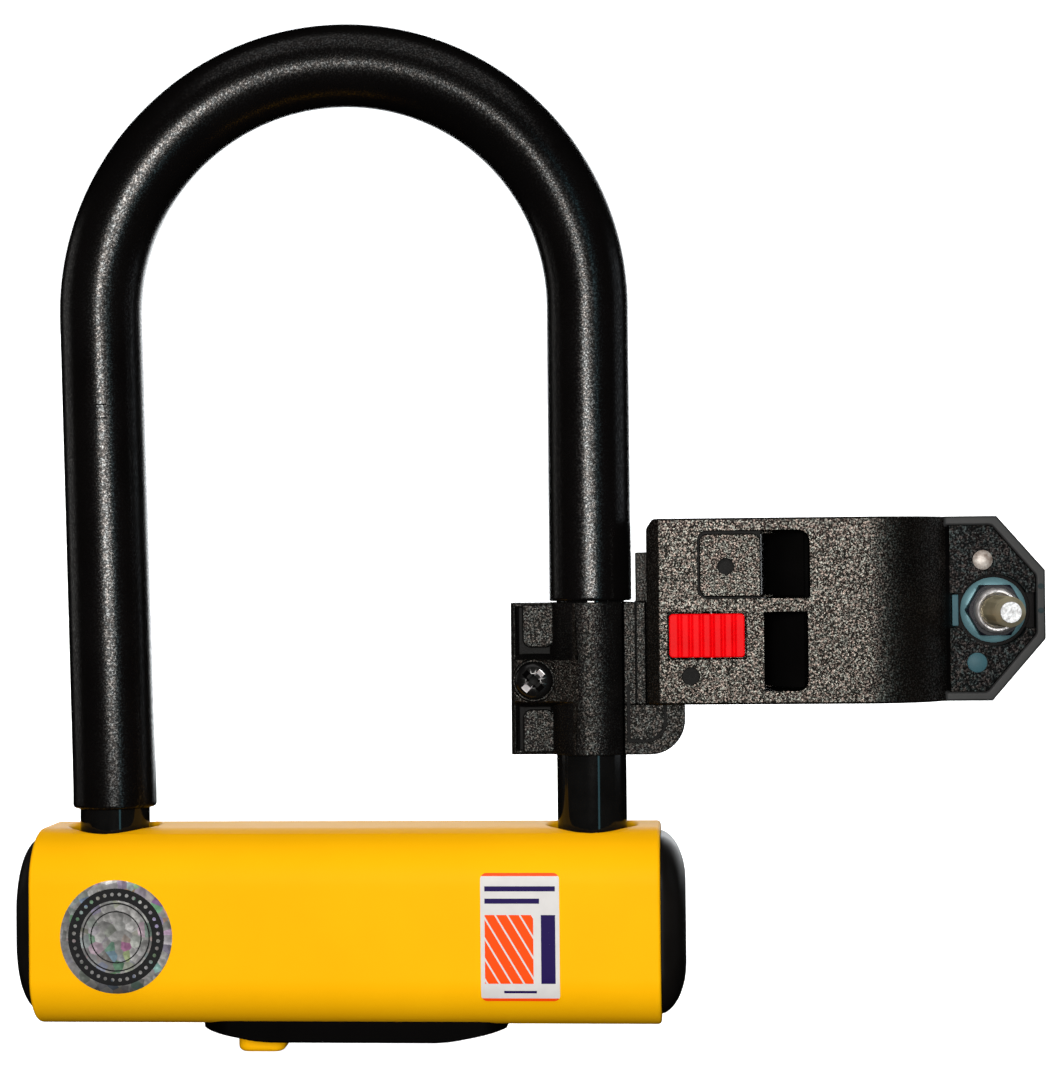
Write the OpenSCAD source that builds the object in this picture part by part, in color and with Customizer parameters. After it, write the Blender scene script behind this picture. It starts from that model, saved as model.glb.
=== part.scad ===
// Bicycle U lock: a sleeved steel shackle, a double-bolt crossbar, and a carrier that clips the lock to
// a frame tube. Pieces are drawn about the crossbar's centre, with X across the legs, Z up the legs and
// -Y to the front. from_crossbar() then moves them so that the frame tube's axis is at the origin.

/* [Shackle] */
// Diameter of the hardened steel bar
bar_d = 14; // [13:0.5:15]
// Distance between the leg axes
leg_spacing = 97.6; // [97:0.2:98.4]
// Angle at which the left leg leans out on its way up
lean_angle = 1.25; // [0.5:0.05:1.5]
// Height of the bend's centre above the crossbar's axis
bend_height = 124; // [120:1:160]
// Outside diameter of the plastic sleeve
sleeve_d = 16.8; // [16.4:0.2:17]
// Height at which the sleeve starts on the left leg
sleeve_left_end = 23.3; // [22:0.1:25]
// Height at which the sleeve starts on the right leg
sleeve_right_end = 64.8; // [64.6:0.2:70]
// Depth of the feet below the crossbar's axis
foot_depth = 9.5; // [8.5:0.1:9.6]

/* [Crossbar] */
// Length of the yellow shell
shell_length = 125; // [124:0.5:130]
// Height of the shell
shell_height = 39; // [38.5:0.5:40]
// Front-to-back depth of the shell
shell_depth = 32; // [31:0.5:34]
// Corner radius of the shell's section
shell_corner = 10.5; // [9:0.5:12]
// Diameter of the leg holes in the shell
leg_hole_d = 18; // [17.6:0.1:18.6]
// Outside diameter of the steel tube inside the shell
tube_d = 28; // [27:0.5:28.5]
// Wall of the steel tube
tube_wall = 3; // [2.8:0.1:3]
// How far the end caps stand out of the shell
cap_height = 5; // [3:0.5:7]

/* [Lock mechanism] */
// Offset of the lock cylinder from the crossbar's middle
cylinder_x = 1.2; // [0:0.2:2]
// Diameter of the cylinder housing
housing_d = 18; // [17:0.5:18]
// Diameter of the turning plug
plug_d = 12; // [11:0.5:12]
// Diameter of the deadbolts
bolt_d = 12; // [11:0.5:12]
// Travel of each deadbolt
bolt_travel = 4.7; // [4:0.1:4.8]

/* [Keyhole cover] */
// Length of the cover against the shell
cover_length = 62; // [60:1:64]
// Length of the cover's flat underside
cover_flat = 44; // [42:1:48]
// Depth of the cover from front to back
cover_width = 20; // [18:1:22]
// How far the cover stands below the shell
cover_drop = 3.4; // [3.2:0.1:4]
// Travel of the dust shutter
shutter_travel = 13.5; // [13:0.1:13.6]

/* [Shackle clamp] */
// Height of the clamp along the leg
clamp_height = 30.4; // [28:0.4:30.4]
// Height of the clamp's lower end above the crossbar's axis
clamp_base = 33.8; // [33.8:0.1:34.2]
// Outside diameter of the clamp's barrel
barrel_d = 17.2; // [17:0.2:18]
// Width of the clamp's screw flange, measured from the leg's axis
flange_reach = 15.9; // [15:0.1:17]
// Height of the tongue's tip above the crossbar's axis
tongue_top = 74.1; // [70:0.1:74.2]

/* [Frame bracket] */
// Diameter of the bicycle frame tube
frame_tube_d = 31.8; // [31:0.1:32]
// Distance from the crossbar's centre to the frame tube's axis
frame_tube_x = 103.3; // [103:0.1:104]
// Distance of the frame tube's axis behind the shackle's plane
frame_tube_y = 8; // [7.6:0.1:8.4]
// Height of the bracket
bracket_height = 36.6; // [36.4:0.2:38]
// Height of the bracket's lower face above the crossbar's axis
bracket_base = 44; // [44:0.1:44.2]
// Thickness of the rubber liner
liner_wall = 1.6; // [1.2:0.1:2]
// Thickness of the band around the liner
band_wall = 2.5; // [2:0.1:3]
// Length of the clamping screw past the tray's floor
stud_length = 26; // [16:1:28]

/* [Hidden] */

$fn = 64;
hull_fn = 32;
eps = 0.05;
far = 100;
gap = 0.3;
seat = 0.04;

// Shackle
bar_r = bar_d / 2;
sleeve_r = sleeve_d / 2;
leg_x = leg_spacing / 2;
lean_base = sleeve_left_end + 2.7;
kink_r = 150;
lean_cos = cos(lean_angle);
lean_sin = sin(lean_angle);
lean_tan = tan(lean_angle);
bend_span = 2 * leg_x + kink_r * (1 - lean_cos - lean_sin * lean_tan);
bend_r = (bend_span + lean_tan * (bend_height - lean_base)) / (1 + lean_cos + lean_sin * lean_tan);
bend_x = leg_x - bend_r;
lean_length = (bend_height - lean_base - (bend_r + kink_r) * lean_sin) / lean_cos;
swell = 0.02;
lap = 1;
foot_chamfer = 2;
notch_depth = 4.7;
notch_height = bolt_d + 1.2;

// Crossbar
shell_top = shell_height / 2;
tube_r = tube_d / 2;
tube_bore = tube_r - tube_wall;
tube_length = shell_length - 4;
cap_inset = 1.8;
cap_rim = 1.4;
cap_shoulder = 1.2;
cap_bevel = 3.2;
cap_face = 1;
slice = 0.1;
spigot_length = 4;
bush_height = 3;
housing_pin_at = [cylinder_x + 7.6, -8];
housing_pin_r = 1.25;
housing_pin_half = 10.4;

// Deadbolts and their cam
plug_top = -0.5;
cam_width = 5.2;
cam_reach = cam_width / 2 + bolt_travel;
cam_play = 1.3;
cam_height = 4.4;
bolt_tip = leg_x - bar_r - 0.5;
bolt_root = 15;
collar_r = tube_bore - 0.4;
collar_length = 2.5;
bolt_tongue_width = 10;
bolt_tongue_height = 4;
bolt_tongue_base = plug_top + 0.2;
seat_start = 36;
seat_length = 2;
spring_wire = 0.6;
bolt_spring_turns = 6;
bolt_spring_r = (bolt_d / 2 + tube_bore) / 2;
housing_top = -2.5;
keyway_size = [2.2, 8.6, 30];
housing_base = -shell_top + 1.2;

// Keyhole cover, shutter and knob
cover_base = -shell_top - cover_drop;
cover_skin = 1.2;
cover_overlap = 3;
cover_corner = 6;
window_d = 12;
shutter_size = [15.5, 13, 1];
shutter_left = cylinder_x - 22.7;
shutter_base = cover_base + cover_skin + gap;
knob_size = [9.6, 8, 2.9];
knob_x = cylinder_x - 19.6;
knob_corner = 1.6;
neck_size = [5, 4.4];
cover_screw_x = cylinder_x + 18;
cover_screw_y = 6;
cover_screw_r = 1.05;
cover_screw_depth = 4;
cover_screw_head = [2.4, 1.4];
cover_screw_slot = [3, 0.7, 1.6];

// Stickers
sticker_wall = 0.15;
round_sticker_r = 11.2;
round_sticker_at = [-44.8, -0.9];
label_size = [15.4, 25.1];
label_at = [35.1, -0.9];
label_corner = 1.2;

// Shackle clamp
barrel_r = barrel_d / 2;
clamp_half = 3.6;
clamp_split = 0.5;
rib_height = 8.4;
rib_front = 5.4;
rib_end = [leg_x - 2.3, -8.2];
clamp_screw_at = [leg_x - 11.3, clamp_base + 14.8];
clamp_screw_r = 2;
clamp_screw_end = 6.2;
clamp_head_r = 3.85;
clamp_head_height = 2.6;
clamp_cross = [4.4, 3.2, 1.1];
clamp_nut_flats = 7;
nut_seat = 2.2;
clamp_nut_back = 5.5;
pad_size = [6.1, 8.2];
pad_rise = 0.6;
pad_inset = 2.4;
web_half = 3;
web_start = leg_x + sleeve_r + 0.4;
web_root = 5;
cheek_left = leg_x + 6.8;
cheek_front = 5.2;
tongue_left = 64;
tongue_size = [3.5, 12];
ear_right = 67.7;
ear_height = 10;
ear_corner = 7;
groove_base = bracket_base + 9.5;
groove_size = [2.6, 1.1];

// Frame bracket
band_bore = frame_tube_d / 2 + liner_wall;
band_r = band_bore + band_wall;
bracket_mid = bracket_base + bracket_height / 2;
face_y = frame_tube_y - band_r;
split_gap = 1.5;
block_left = 60.3;
block_right = 82.9;
block_back = 9;
corner_cut = 2.3;
tray_front = -4;
tray_level = -1.6;
tray_floor = 1;
nut_well_r = 7.2;
key_slot = [137.3, 58.4, 7];
key_slot_back = 0.4;
tray_wall = 1.8;
tray_left = 118;
tray_right = 139;
flange_back = 15;
screw_at = [129.3, 61.9];
stud_r = 3;
stud_tip_r = 2.2;
stud_tip = 0.8;
stud_hole_r = 3.2;
washer_wall = 1.2;
hex_flats = 10;
hex_height = 4;
nut_flange = [6.5, 1.3];
nut_collar = [4.5, 7.8];
nut_top = 6;
chamfer_low = [10.5, 12.2];
chamfer_high = [9.4, 10.8];
top_cut = [1.3, 1.9];
recess_depth = 1;
upper_window = [82.9, 64.8, 9.4, 13.3];
lower_window = [83.3, 46.6, 8.5, 15.5];
recess = [70.4, 64.8, 13, 13.3];
window_corner = 0.8;
recess_corner = 1.8;
dimple_r = 1.8;
dimple_depth = 0.7;
upper_dimple = [75.9, 71.1];
lower_dimple = [68.9, 49.6];
liner_inset = 1;

// Release rocker
rocker_size = [15, 3.4, 8.9];
rocker_at = [64.7, face_y - 0.6, 53.1];
rocker_gap = 0.4;
pivot_at = [73, face_y + 2.2];
pivot_r = 1;
pivot_boss_r = 2.4;
pivot_overhang = 2.4;
rib_count = 7;
rib_groove_r = 0.5;
rocker_well = 6;
nib_size = [1.3, 4, 4];
rocker_spring_at = [77.6, 57.5];
rocker_spring_r = 1.6;
rocker_spring_wire = 0.25;
rocker_spring_turns = 3;

// Moves a piece drawn about the crossbar's centre to the part's origin on the frame tube's axis
module from_crossbar() {
    translate([-frame_tube_x, -frame_tube_y, -bracket_mid]) children();
}

// Extrudes an outline drawn in Y and Z along X, from x0 for the given length
module along_x(x0, length) {
    translate([x0, 0, 0]) rotate([90, 0, 90]) linear_extrude(length) children();
}

// Extrudes an outline drawn in X and Z along Y, from front y0 to back y1
module along_y(y0, y1) {
    translate([0, y1, 0]) rotate([90, 0, 0]) linear_extrude(y1 - y0) children();
}

// A cylinder along Y with its axis at [x, z]
module rod_y(at, r, y0, y1) {
    translate([at[0], y0, at[1]]) rotate([-90, 0, 0]) cylinder(r = r, h = y1 - y0);
}

// A cylinder along X on the crossbar's axis
module rod_x(r, x0, length) {
    translate([x0, 0, 0]) rotate([0, 90, 0]) cylinder(r = r, h = length);
}

// A cylinder along Z with its axis at [x, y]
module rod_z(at, r, z0, z1) {
    translate([at[0], at[1], z0]) cylinder(r = r, h = z1 - z0);
}

// A rectangle with round corners, centred
module round_rect(w, h, r) {
    square([w - 2 * r, h], center = true);
    square([w, h - 2 * r], center = true);
    for (x = [-1, 1], y = [-1, 1])
        translate([x * (w / 2 - r), y * (h / 2 - r)]) circle(r = r);
}

// A window outline in X and Z with round corners, from [x, z, width, height]
module window_outline(w, r) {
    translate([w[0] + w[2] / 2, w[1] + w[3] / 2]) round_rect(w[2], w[3], r);
}

// The shell's section, grown outwards by the given amount
module shell_section(grow = 0) {
    round_rect(shell_depth + 2 * grow, shell_height + 2 * grow, shell_corner + grow);
}

// A coil of round wire along Z, as a swept tube
module coil(r, wire, height, turns) {
    sides = 6;
    steps = 12 * turns;
    rings = [for (i = [0 : steps], j = [0 : sides - 1])
        let (a = 360 * turns * i / steps, b = 360 * j / sides, reach = r + wire * cos(b))
        [reach * cos(a), reach * sin(a), height * i / steps + wire * sin(b)]];
    walls = [for (i = [0 : steps - 1], j = [0 : sides - 1])
        let (k = (j + 1) % sides)
        [i * sides + j, (i + 1) * sides + j, (i + 1) * sides + k, i * sides + k]];
    start = [for (j = [0 : sides - 1]) j];
    end = [for (j = [sides - 1 : -1 : 0]) steps * sides + j];
    polyhedron(points = rings, faces = concat(walls, [start, end]), convexity = 6);
}

// ---- Crossbar ----

module crossbar_shell() {
    color("gold") from_crossbar() difference() {
        along_x(-shell_length / 2, shell_length) shell_section();
        rod_x(tube_r + seat, -shell_length, 2 * shell_length);
        for (side = [-1, 1])
            rod_z([side * leg_x, 0], leg_hole_d / 2, 0, far);
        rod_z([cylinder_x, 0], housing_d / 2 + seat, -far, 0);
        cover_screw_holes();
    }
}

module cover_screw_holes() {
    for (side = [-1, 1])
        rod_z([cover_screw_x, side * cover_screw_y], cover_screw_r + eps, -far,
            cover_screw_depth + 0.5 - shell_top);
}

module crossbar_tube() {
    color("dimgray") from_crossbar() difference() {
        rod_x(tube_r, -tube_length / 2, tube_length);
        rod_x(tube_bore, -far, 2 * far);
        for (side = [-1, 1])
            rod_z([side * leg_x, 0], bar_r + gap, 0, far);
        rod_z([cylinder_x, 0], housing_d / 2 + seat, -far, 0);
        rod_y(housing_pin_at, housing_pin_r + eps, -far, far);
    }
}

module end_cap(side) {
    tube_end = tube_length / 2;
    shell_end = shell_length / 2;
    color("#1c1a19") from_crossbar() scale([side, 1, 1]) {
        rod_x(tube_bore - seat, tube_end - spigot_length, spigot_length + 1);
        rod_x(tube_r, tube_end, shell_end - tube_end);
        hull() {
            along_x(shell_end, cap_rim) shell_section(-cap_inset, $fn = hull_fn);
            along_x(shell_end + cap_height - cap_face, slice)
                shell_section(-cap_inset - cap_shoulder, $fn = hull_fn);
            along_x(shell_end + cap_height - slice, slice)
                shell_section(-cap_inset - cap_bevel, $fn = hull_fn);
        }
    }
}

module end_cap_left() {
    end_cap(-1);
}

module end_cap_right() {
    end_cap(1);
}

module foot_bush(side) {
    color("#242424") from_crossbar() difference() {
        rod_z([side * leg_x, 0], leg_hole_d / 2 - seat, tube_r, tube_r + bush_height);
        rod_z([side * leg_x, 0], bar_r + gap, 0, far);
    }
}

module foot_bush_left() {
    foot_bush(-1);
}

module foot_bush_right() {
    foot_bush(1);
}

// ---- Keyhole cover and dust shutter ----

module cover_form() {
    half = cover_length / 2;
    flat = cover_flat / 2;
    translate([cylinder_x, 0, 0]) intersection() {
        along_y(-cover_width / 2, cover_width / 2)
            polygon([[-half, -shell_top], [-flat, cover_base], [flat, cover_base], [half, -shell_top],
                [half, cover_overlap - shell_top], [-half, cover_overlap - shell_top]]);
        translate([0, 0, -far]) linear_extrude(far) round_rect(cover_length, cover_width, cover_corner);
    }
}

module keyhole_cover() {
    pocket_x = shutter_left - gap;
    pocket_length = shutter_size[0] + shutter_travel + 2 * gap;
    slot_left = knob_x - neck_size[0] / 2 - gap;
    slot_right = slot_left + neck_size[0] + shutter_travel + 2 * gap;
    color("#171615") from_crossbar() difference() {
        cover_form();
        along_x(-far, 2 * far) shell_section(seat);
        translate([pocket_x, -shutter_size[1] / 2 - gap, shutter_base - gap])
            cube([pocket_length, shutter_size[1] + 2 * gap, far]);
        translate([slot_left, -neck_size[1] / 2 - gap, -far])
            cube([slot_right - slot_left, neck_size[1] + 2 * gap, far]);
        rod_z([cylinder_x, 0], window_d / 2, -far, 0);
        for (side = [-1, 1]) {
            rod_z([cover_screw_x, side * cover_screw_y], cover_screw_r + 0.2, -far, 0);
            rod_z([cover_screw_x, side * cover_screw_y], cover_screw_head[0] + 0.2, -far,
                cover_base + cover_screw_head[1]);
        }
    }
}

module cover_screws() {
    color("silver") from_crossbar() for (side = [-1, 1]) difference() {
        union() {
            rod_z([cover_screw_x, side * cover_screw_y], cover_screw_head[0], cover_base,
                cover_base + cover_screw_head[1]);
            rod_z([cover_screw_x, side * cover_screw_y], cover_screw_r, cover_base,
                cover_screw_depth - shell_top);
        }
        for (turn = [0, 90])
            translate([cover_screw_x, side * cover_screw_y, cover_base]) rotate(turn)
                cube(cover_screw_slot, center = true);
    }
}

module dust_shutter() {
    color("#2b2b2b") from_crossbar()
        translate([shutter_left, -shutter_size[1] / 2, shutter_base]) cube(shutter_size);
}

module shutter_knob() {
    head_base = cover_base - 0.2 - knob_size[2];
    color("gold") from_crossbar() {
        translate([knob_x, 0, head_base]) linear_extrude(knob_size[2])
            round_rect(knob_size[0], knob_size[1], knob_corner);
        translate([knob_x - neck_size[0] / 2, -neck_size[1] / 2, head_base])
            cube([neck_size[0], neck_size[1], shutter_base - head_base]);
    }
}

// ---- Lock cylinder and deadbolts ----

module cylinder_housing() {
    color("tan") from_crossbar() difference() {
        rod_z([cylinder_x, 0], housing_d / 2, housing_base, housing_top);
        rod_z([cylinder_x, 0], plug_d / 2 + eps, -far, far);
        rod_y(housing_pin_at, housing_pin_r + eps, -far, far);
    }
}

module housing_pin() {
    color("silver") from_crossbar() rod_y(housing_pin_at, housing_pin_r, -housing_pin_half, housing_pin_half);
}

module cylinder_plug() {
    color("goldenrod") from_crossbar() difference() {
        rod_z([cylinder_x, 0], plug_d / 2, housing_base, plug_top);
        translate([cylinder_x, 0, housing_base]) cube(keyway_size, center = true);
    }
}

module bolt_cam() {
    lobe = cam_reach - cam_width / 2;
    color("lightsteelblue") from_crossbar() translate([cylinder_x, 0, plug_top]) linear_extrude(cam_height) {
        square([cam_width, 2 * lobe], center = true);
        for (end = [-1, 1])
            translate([0, end * lobe]) circle(d = cam_width);
    }
}

module deadbolt(side) {
    root = cylinder_x * side + cam_width / 2 + cam_play;
    tongue = [bolt_root - root + 1, bolt_tongue_width, bolt_tongue_height];
    color("silver") from_crossbar() scale([side, 1, 1]) {
        rod_x(bolt_d / 2, bolt_root, bolt_tip - bolt_root);
        rod_x(collar_r, bolt_root, collar_length);
        translate([root, -bolt_tongue_width / 2, bolt_tongue_base]) cube(tongue);
    }
}

module deadbolt_left() {
    deadbolt(-1);
}

module deadbolt_right() {
    deadbolt(1);
}

module spring_seats() {
    color("dimgray") from_crossbar() for (side = [-1, 1]) scale([side, 1, 1]) difference() {
        rod_x(tube_bore - seat, seat_start, seat_length);
        rod_x(bolt_d / 2 + gap, 0, far);
    }
}

module bolt_spring(side) {
    start = bolt_root + collar_length + spring_wire;
    length = seat_start - start - spring_wire;
    color("lightgray") from_crossbar() rotate([0, side * 90, 0]) translate([0, 0, start])
        coil(bolt_spring_r, spring_wire, length, bolt_spring_turns);
}

module bolt_spring_left() {
    bolt_spring(-1);
}

module bolt_spring_right() {
    bolt_spring(1);
}

// ---- Stickers ----

module sticker_skin() {
    difference() {
        along_x(-far / 2, far) shell_section(sticker_wall);
        along_x(-far, 2 * far) shell_section();
    }
}

module round_sticker() {
    color("lightgray") from_crossbar() intersection() {
        sticker_skin();
        rod_y(round_sticker_at, round_sticker_r, -far, -shell_depth / 4);
    }
}

module label_sticker() {
    color("white") from_crossbar() intersection() {
        sticker_skin();
        along_y(-far, -shell_depth / 4) translate(label_at)
            round_rect(label_size[0], label_size[1], label_corner);
    }
}

// ---- Shackle ----

// A round rod along the shackle's line, from a height on the left leg to a height on the right leg.
// The bends are a hair thicker than the straight runs that lap into them.
module shackle_rod(r, left_base, right_base) {
    rod_z([-leg_x, 0], r, left_base, lean_base + lap);
    translate([-leg_x - kink_r, 0, lean_base]) bend(kink_r, r + swell, lean_angle);
    translate([-leg_x - kink_r * (1 - lean_cos), 0, lean_base + kink_r * lean_sin])
        rotate([0, -lean_angle, 0]) translate([0, 0, -lap]) cylinder(r = r, h = lean_length + 2 * lap);
    translate([bend_x, 0, bend_height]) bend(bend_r, r + swell, 180 + lean_angle);
    rod_z([leg_x, 0], r, right_base, bend_height + lap);
}

// A bent round rod in the XZ plane, turning from +X towards +Z about the origin
module bend(path_r, r, angle) {
    rotate([90, 0, 0]) rotate_extrude(angle = angle) translate([path_r, 0]) circle(r = r);
}

module shackle_bar() {
    color("#151515") from_crossbar() difference() {
        union() {
            shackle_rod(bar_r, foot_chamfer - foot_depth, foot_chamfer - foot_depth);
            for (side = [-1, 1])
                translate([side * leg_x, 0, -foot_depth])
                    cylinder(r1 = bar_r - foot_chamfer, r2 = bar_r, h = foot_chamfer);
        }
        for (side = [-1, 1])
            translate([side * (leg_x - bar_r), 0, 0])
                cube([2 * notch_depth, far, notch_height], center = true);
    }
}

module shackle_sleeve() {
    color("#2a2725") from_crossbar() difference() {
        shackle_rod(sleeve_r, sleeve_left_end, sleeve_right_end);
        shackle_rod(bar_r + seat, sleeve_left_end - lap, sleeve_right_end - lap);
    }
}

// ---- Clamp on the shackle's right leg ----

// One half of the barrel and screw flange, behind the split for side 1 and in front of it for side -1
module clamp_half_form(side) {
    flange_left = leg_x - flange_reach;
    y0 = side > 0 ? clamp_split : -clamp_half;
    translate([0, 0, clamp_base]) {
        intersection() {
            rod_z([leg_x, 0], barrel_r, 0, clamp_height);
            translate([0, side > 0 ? clamp_split : -far - clamp_split, 0]) cube(far);
        }
        translate([flange_left, y0, 0]) cube([flange_reach, clamp_half - clamp_split, clamp_height]);
    }
}

module clamp_front() {
    rib_mid = clamp_screw_at[1];
    flange_left = leg_x - flange_reach;
    color("#33302e") from_crossbar() difference() {
        union() {
            clamp_half_form(-1);
            translate([0, 0, rib_mid - rib_height / 2]) linear_extrude(rib_height)
                polygon([[flange_left + gap, -rib_front], rib_end, [rib_end[0], -1], [flange_left + gap, -1]]);
            for (z = [clamp_base + 1, clamp_base + clamp_height - 1 - pad_size[1]])
                translate([flange_left + pad_inset, -clamp_half - pad_rise, z])
                    cube([pad_size[0], pad_rise + eps, pad_size[1]]);
        }
        translate([cheek_left - gap, -far, 0]) cube(far);
        rod_z([leg_x, 0], bar_r + seat, 0, far);
        rod_y(clamp_screw_at, clamp_head_r + gap, -far, -clamp_half);
        rod_y(clamp_screw_at, clamp_screw_r + 0.1, -far, far);
    }
}

module clamp_rear() {
    color("#33302e") from_crossbar() difference() {
        union() {
            clamp_half_form(1);
            translate([leg_x + web_root, clamp_split, clamp_base])
                cube([web_start + 1 - leg_x - web_root, web_half - clamp_split, clamp_height]);
            translate([web_start, -web_half, clamp_base])
                cube([tongue_left - web_start + 1, 2 * web_half, tongue_top - clamp_base]);
            translate([tongue_left, -tongue_size[1] / 2, clamp_base])
                cube([tongue_size[0], tongue_size[1], tongue_top - clamp_base]);
            cheek();
            ear();
        }
        rod_z([leg_x, 0], bar_r + seat, 0, far);
        rod_y(clamp_screw_at, clamp_screw_r + 0.1, -far, far);
        rod_y_hex(clamp_screw_at, clamp_nut_flats + gap, nut_seat, far);
        translate([tongue_left - 1, -tongue_size[1] / 2 - 1, groove_base])
            cube([groove_size[0] + 1, groove_size[1] + 1, far]);
        below_ear_corner();
    }
}

// A hexagonal prism along Y, measured across its flats
module rod_y_hex(at, flats, y0, y1) {
    translate([at[0], y1, at[1]]) rotate([90, 0, 0]) linear_extrude(y1 - y0)
        circle(d = flats / cos(30), $fn = 6);
}

// The flat cheek beside the barrel, in front of the web and as tall as the clamp
module cheek() {
    translate([cheek_left, -cheek_front, clamp_base])
        cube([block_left - gap - cheek_left, cheek_front, clamp_height]);
}

// The stop that the bracket rests on
module ear() {
    translate([cheek_left, -tongue_size[1] / 2, clamp_base])
        cube([ear_right - cheek_left, tongue_size[1], ear_height]);
}

// What the round outer corner takes off the ear and the tongue's foot
module below_ear_corner() {
    corner = [ear_right - ear_corner, clamp_base + ear_corner];
    along_y(-far, far) difference() {
        translate(corner + [0, -ear_corner - 1]) square(ear_corner + 1);
        translate(corner) circle(r = ear_corner);
    }
}

module clamp_screw() {
    color("#101010") from_crossbar() difference() {
        union() {
            rod_y(clamp_screw_at, clamp_head_r, -clamp_half - clamp_head_height, -clamp_half);
            rod_y(clamp_screw_at, clamp_screw_r, -clamp_half - 1, clamp_screw_end);
        }
        for (turn = [45, 135])
            translate([clamp_screw_at[0], -clamp_half - clamp_head_height, clamp_screw_at[1]])
                rotate([0, turn, 0]) cube(clamp_cross, center = true);
    }
}

module clamp_nut() {
    color("silver") from_crossbar() difference() {
        rod_y_hex(clamp_screw_at, clamp_nut_flats, nut_seat + 0.1, clamp_nut_back);
        rod_y(clamp_screw_at, clamp_screw_r + seat, -far, far);
    }
}

// ---- Frame bracket ----

module tube_axis_rod(r) {
    rod_z([frame_tube_x, frame_tube_y], r, 0, far);
}

// The part of a solid between two depths
module depth_slab(y0, y1) {
    translate([-far, y0, 0]) cube([4 * far, y1 - y0, 2 * far]);
}

// Outline of the screw flange in X and Z, shrunk by the given wall
module flange_outline(wall) {
    z0 = bracket_base + wall;
    z1 = bracket_base + bracket_height - wall;
    x1 = tray_right - wall;
    slant = wall * tan(22.5);
    polygon([[tray_left, z0], [x1 - chamfer_low[0] + slant, z0], [x1, z0 + chamfer_low[1] - slant],
        [x1, z1 - chamfer_high[1] + slant], [x1 - chamfer_high[0] + slant, z1], [tray_left, z1]]);
}

module bracket_body() {
    color("#33302e") from_crossbar() difference() {
        union() {
            block_form();
            intersection() {
                translate([0, 0, bracket_base]) linear_extrude(bracket_height)
                    translate([frame_tube_x, frame_tube_y]) circle(r = band_r);
                depth_slab(-far, frame_tube_y - split_gap);
            }
            tray();
        }
        tube_axis_rod(band_bore);
        along_y(-far, far) window_outline(upper_window, window_corner);
        along_y(-far, far) window_outline(lower_window, window_corner);
        along_y(-far, face_y + recess_depth) window_outline(recess, recess_corner);
        rod_y(upper_dimple, dimple_r, -far, face_y + recess_depth + dimple_depth);
        rod_y(lower_dimple, dimple_r, -far, face_y + dimple_depth);
        tongue_channel();
        rocker_window();
        rod_y(screw_at, stud_hole_r, -far, far);
        top_corner();
    }
}

// The block's upper outer corner, cut off
module top_corner() {
    top = bracket_base + bracket_height;
    along_y(-far, far) polygon([[block_left - 1, top - top_cut[1] * (1 + 1 / top_cut[0])],
        [block_left + top_cut[0] * (1 + 1 / top_cut[1]), top + 1], [block_left - 1, top + 1]]);
}

// The flat-faced block beside the tube, with its outer front corner cut off
module block_form() {
    translate([0, 0, bracket_base]) linear_extrude(bracket_height) {
        polygon([[block_left, face_y + corner_cut], [block_left + corner_cut, face_y],
            [frame_tube_x, face_y], [frame_tube_x, frame_tube_y - split_gap],
            [block_right, frame_tube_y - split_gap], [block_right, block_back], [block_left, block_back]]);
    }
}

// The screw flange: a rimmed tray with a round well for the nut and a slot across it
module tray() {
    back = frame_tube_y - split_gap;
    difference() {
        along_y(tray_front, back) flange_outline(0);
        difference() {
            union() {
                along_y(-far, tray_level) flange_outline(tray_wall);
                rod_y(screw_at, nut_well_r, -far, tray_floor);
                translate([tray_left, tray_level - 1, key_slot[1]])
                    cube([key_slot[0] - tray_left, key_slot_back - tray_level + 1, key_slot[2]]);
            }
            tube_axis_rod(band_r);
        }
    }
}

// The channel that the clamp's tongue slides in, open at its lower end
module tongue_channel() {
    top = tongue_top + 0.5;
    half = tongue_size[1] / 2 + gap;
    translate([0, -web_half - gap, 0]) cube([tongue_left, 2 * (web_half + gap), top]);
    translate([tongue_left - gap, -half, 0]) cube([tongue_size[0] + 2 * gap, 2 * half, top]);
}

module rocker_window() {
    translate([rocker_at[0] - rocker_gap, face_y - 1, rocker_at[2] - rocker_gap])
        cube([rocker_size[0] + 2 * rocker_gap, rocker_well + 1, rocker_size[2] + 2 * rocker_gap]);
    rod_z(pivot_at, pivot_r + 0.01, rocker_at[2] - pivot_overhang - 0.1,
        rocker_at[2] + rocker_size[2] + pivot_overhang + 0.1);
}

module bracket_jaw() {
    split = frame_tube_y + split_gap;
    arm_end = upper_window[0] + upper_window[2] - 1;
    color("#33302e") from_crossbar() difference() {
        union() {
            intersection() {
                translate([0, 0, bracket_base]) linear_extrude(bracket_height)
                    translate([frame_tube_x, frame_tube_y]) circle(r = band_r);
                depth_slab(split, far);
            }
            along_y(split, flange_back) flange_outline(0);
            for (w = [upper_window, lower_window])
                intersection() {
                    tube_axis_rod(band_r - 0.1);
                    translate([w[0] - 1, face_y + 2, w[1] + 0.5])
                        cube([arm_end - w[0] + 1, split - face_y, w[3] - 1]);
                }
        }
        tube_axis_rod(band_bore);
        tube_axis_front_relief();
        rod_y(screw_at, stud_hole_r, -far, far);
    }
}

// Keeps the jaw's two arms clear of the front liner
module tube_axis_front_relief() {
    intersection() {
        tube_axis_rod(band_bore + 0.2);
        depth_slab(-far, frame_tube_y);
    }
}

module liner(side) {
    y0 = side > 0 ? frame_tube_y + split_gap : -far;
    y1 = side > 0 ? far : frame_tube_y - split_gap;
    color("#222222") from_crossbar() intersection() {
        translate([frame_tube_x, frame_tube_y, bracket_base + liner_inset]) difference() {
            cylinder(r = band_bore, h = bracket_height - 2 * liner_inset);
            translate([0, 0, -1]) cylinder(r = frame_tube_d / 2, h = far);
        }
        depth_slab(y0, y1);
    }
}

module liner_front() {
    liner(-1);
}

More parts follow.
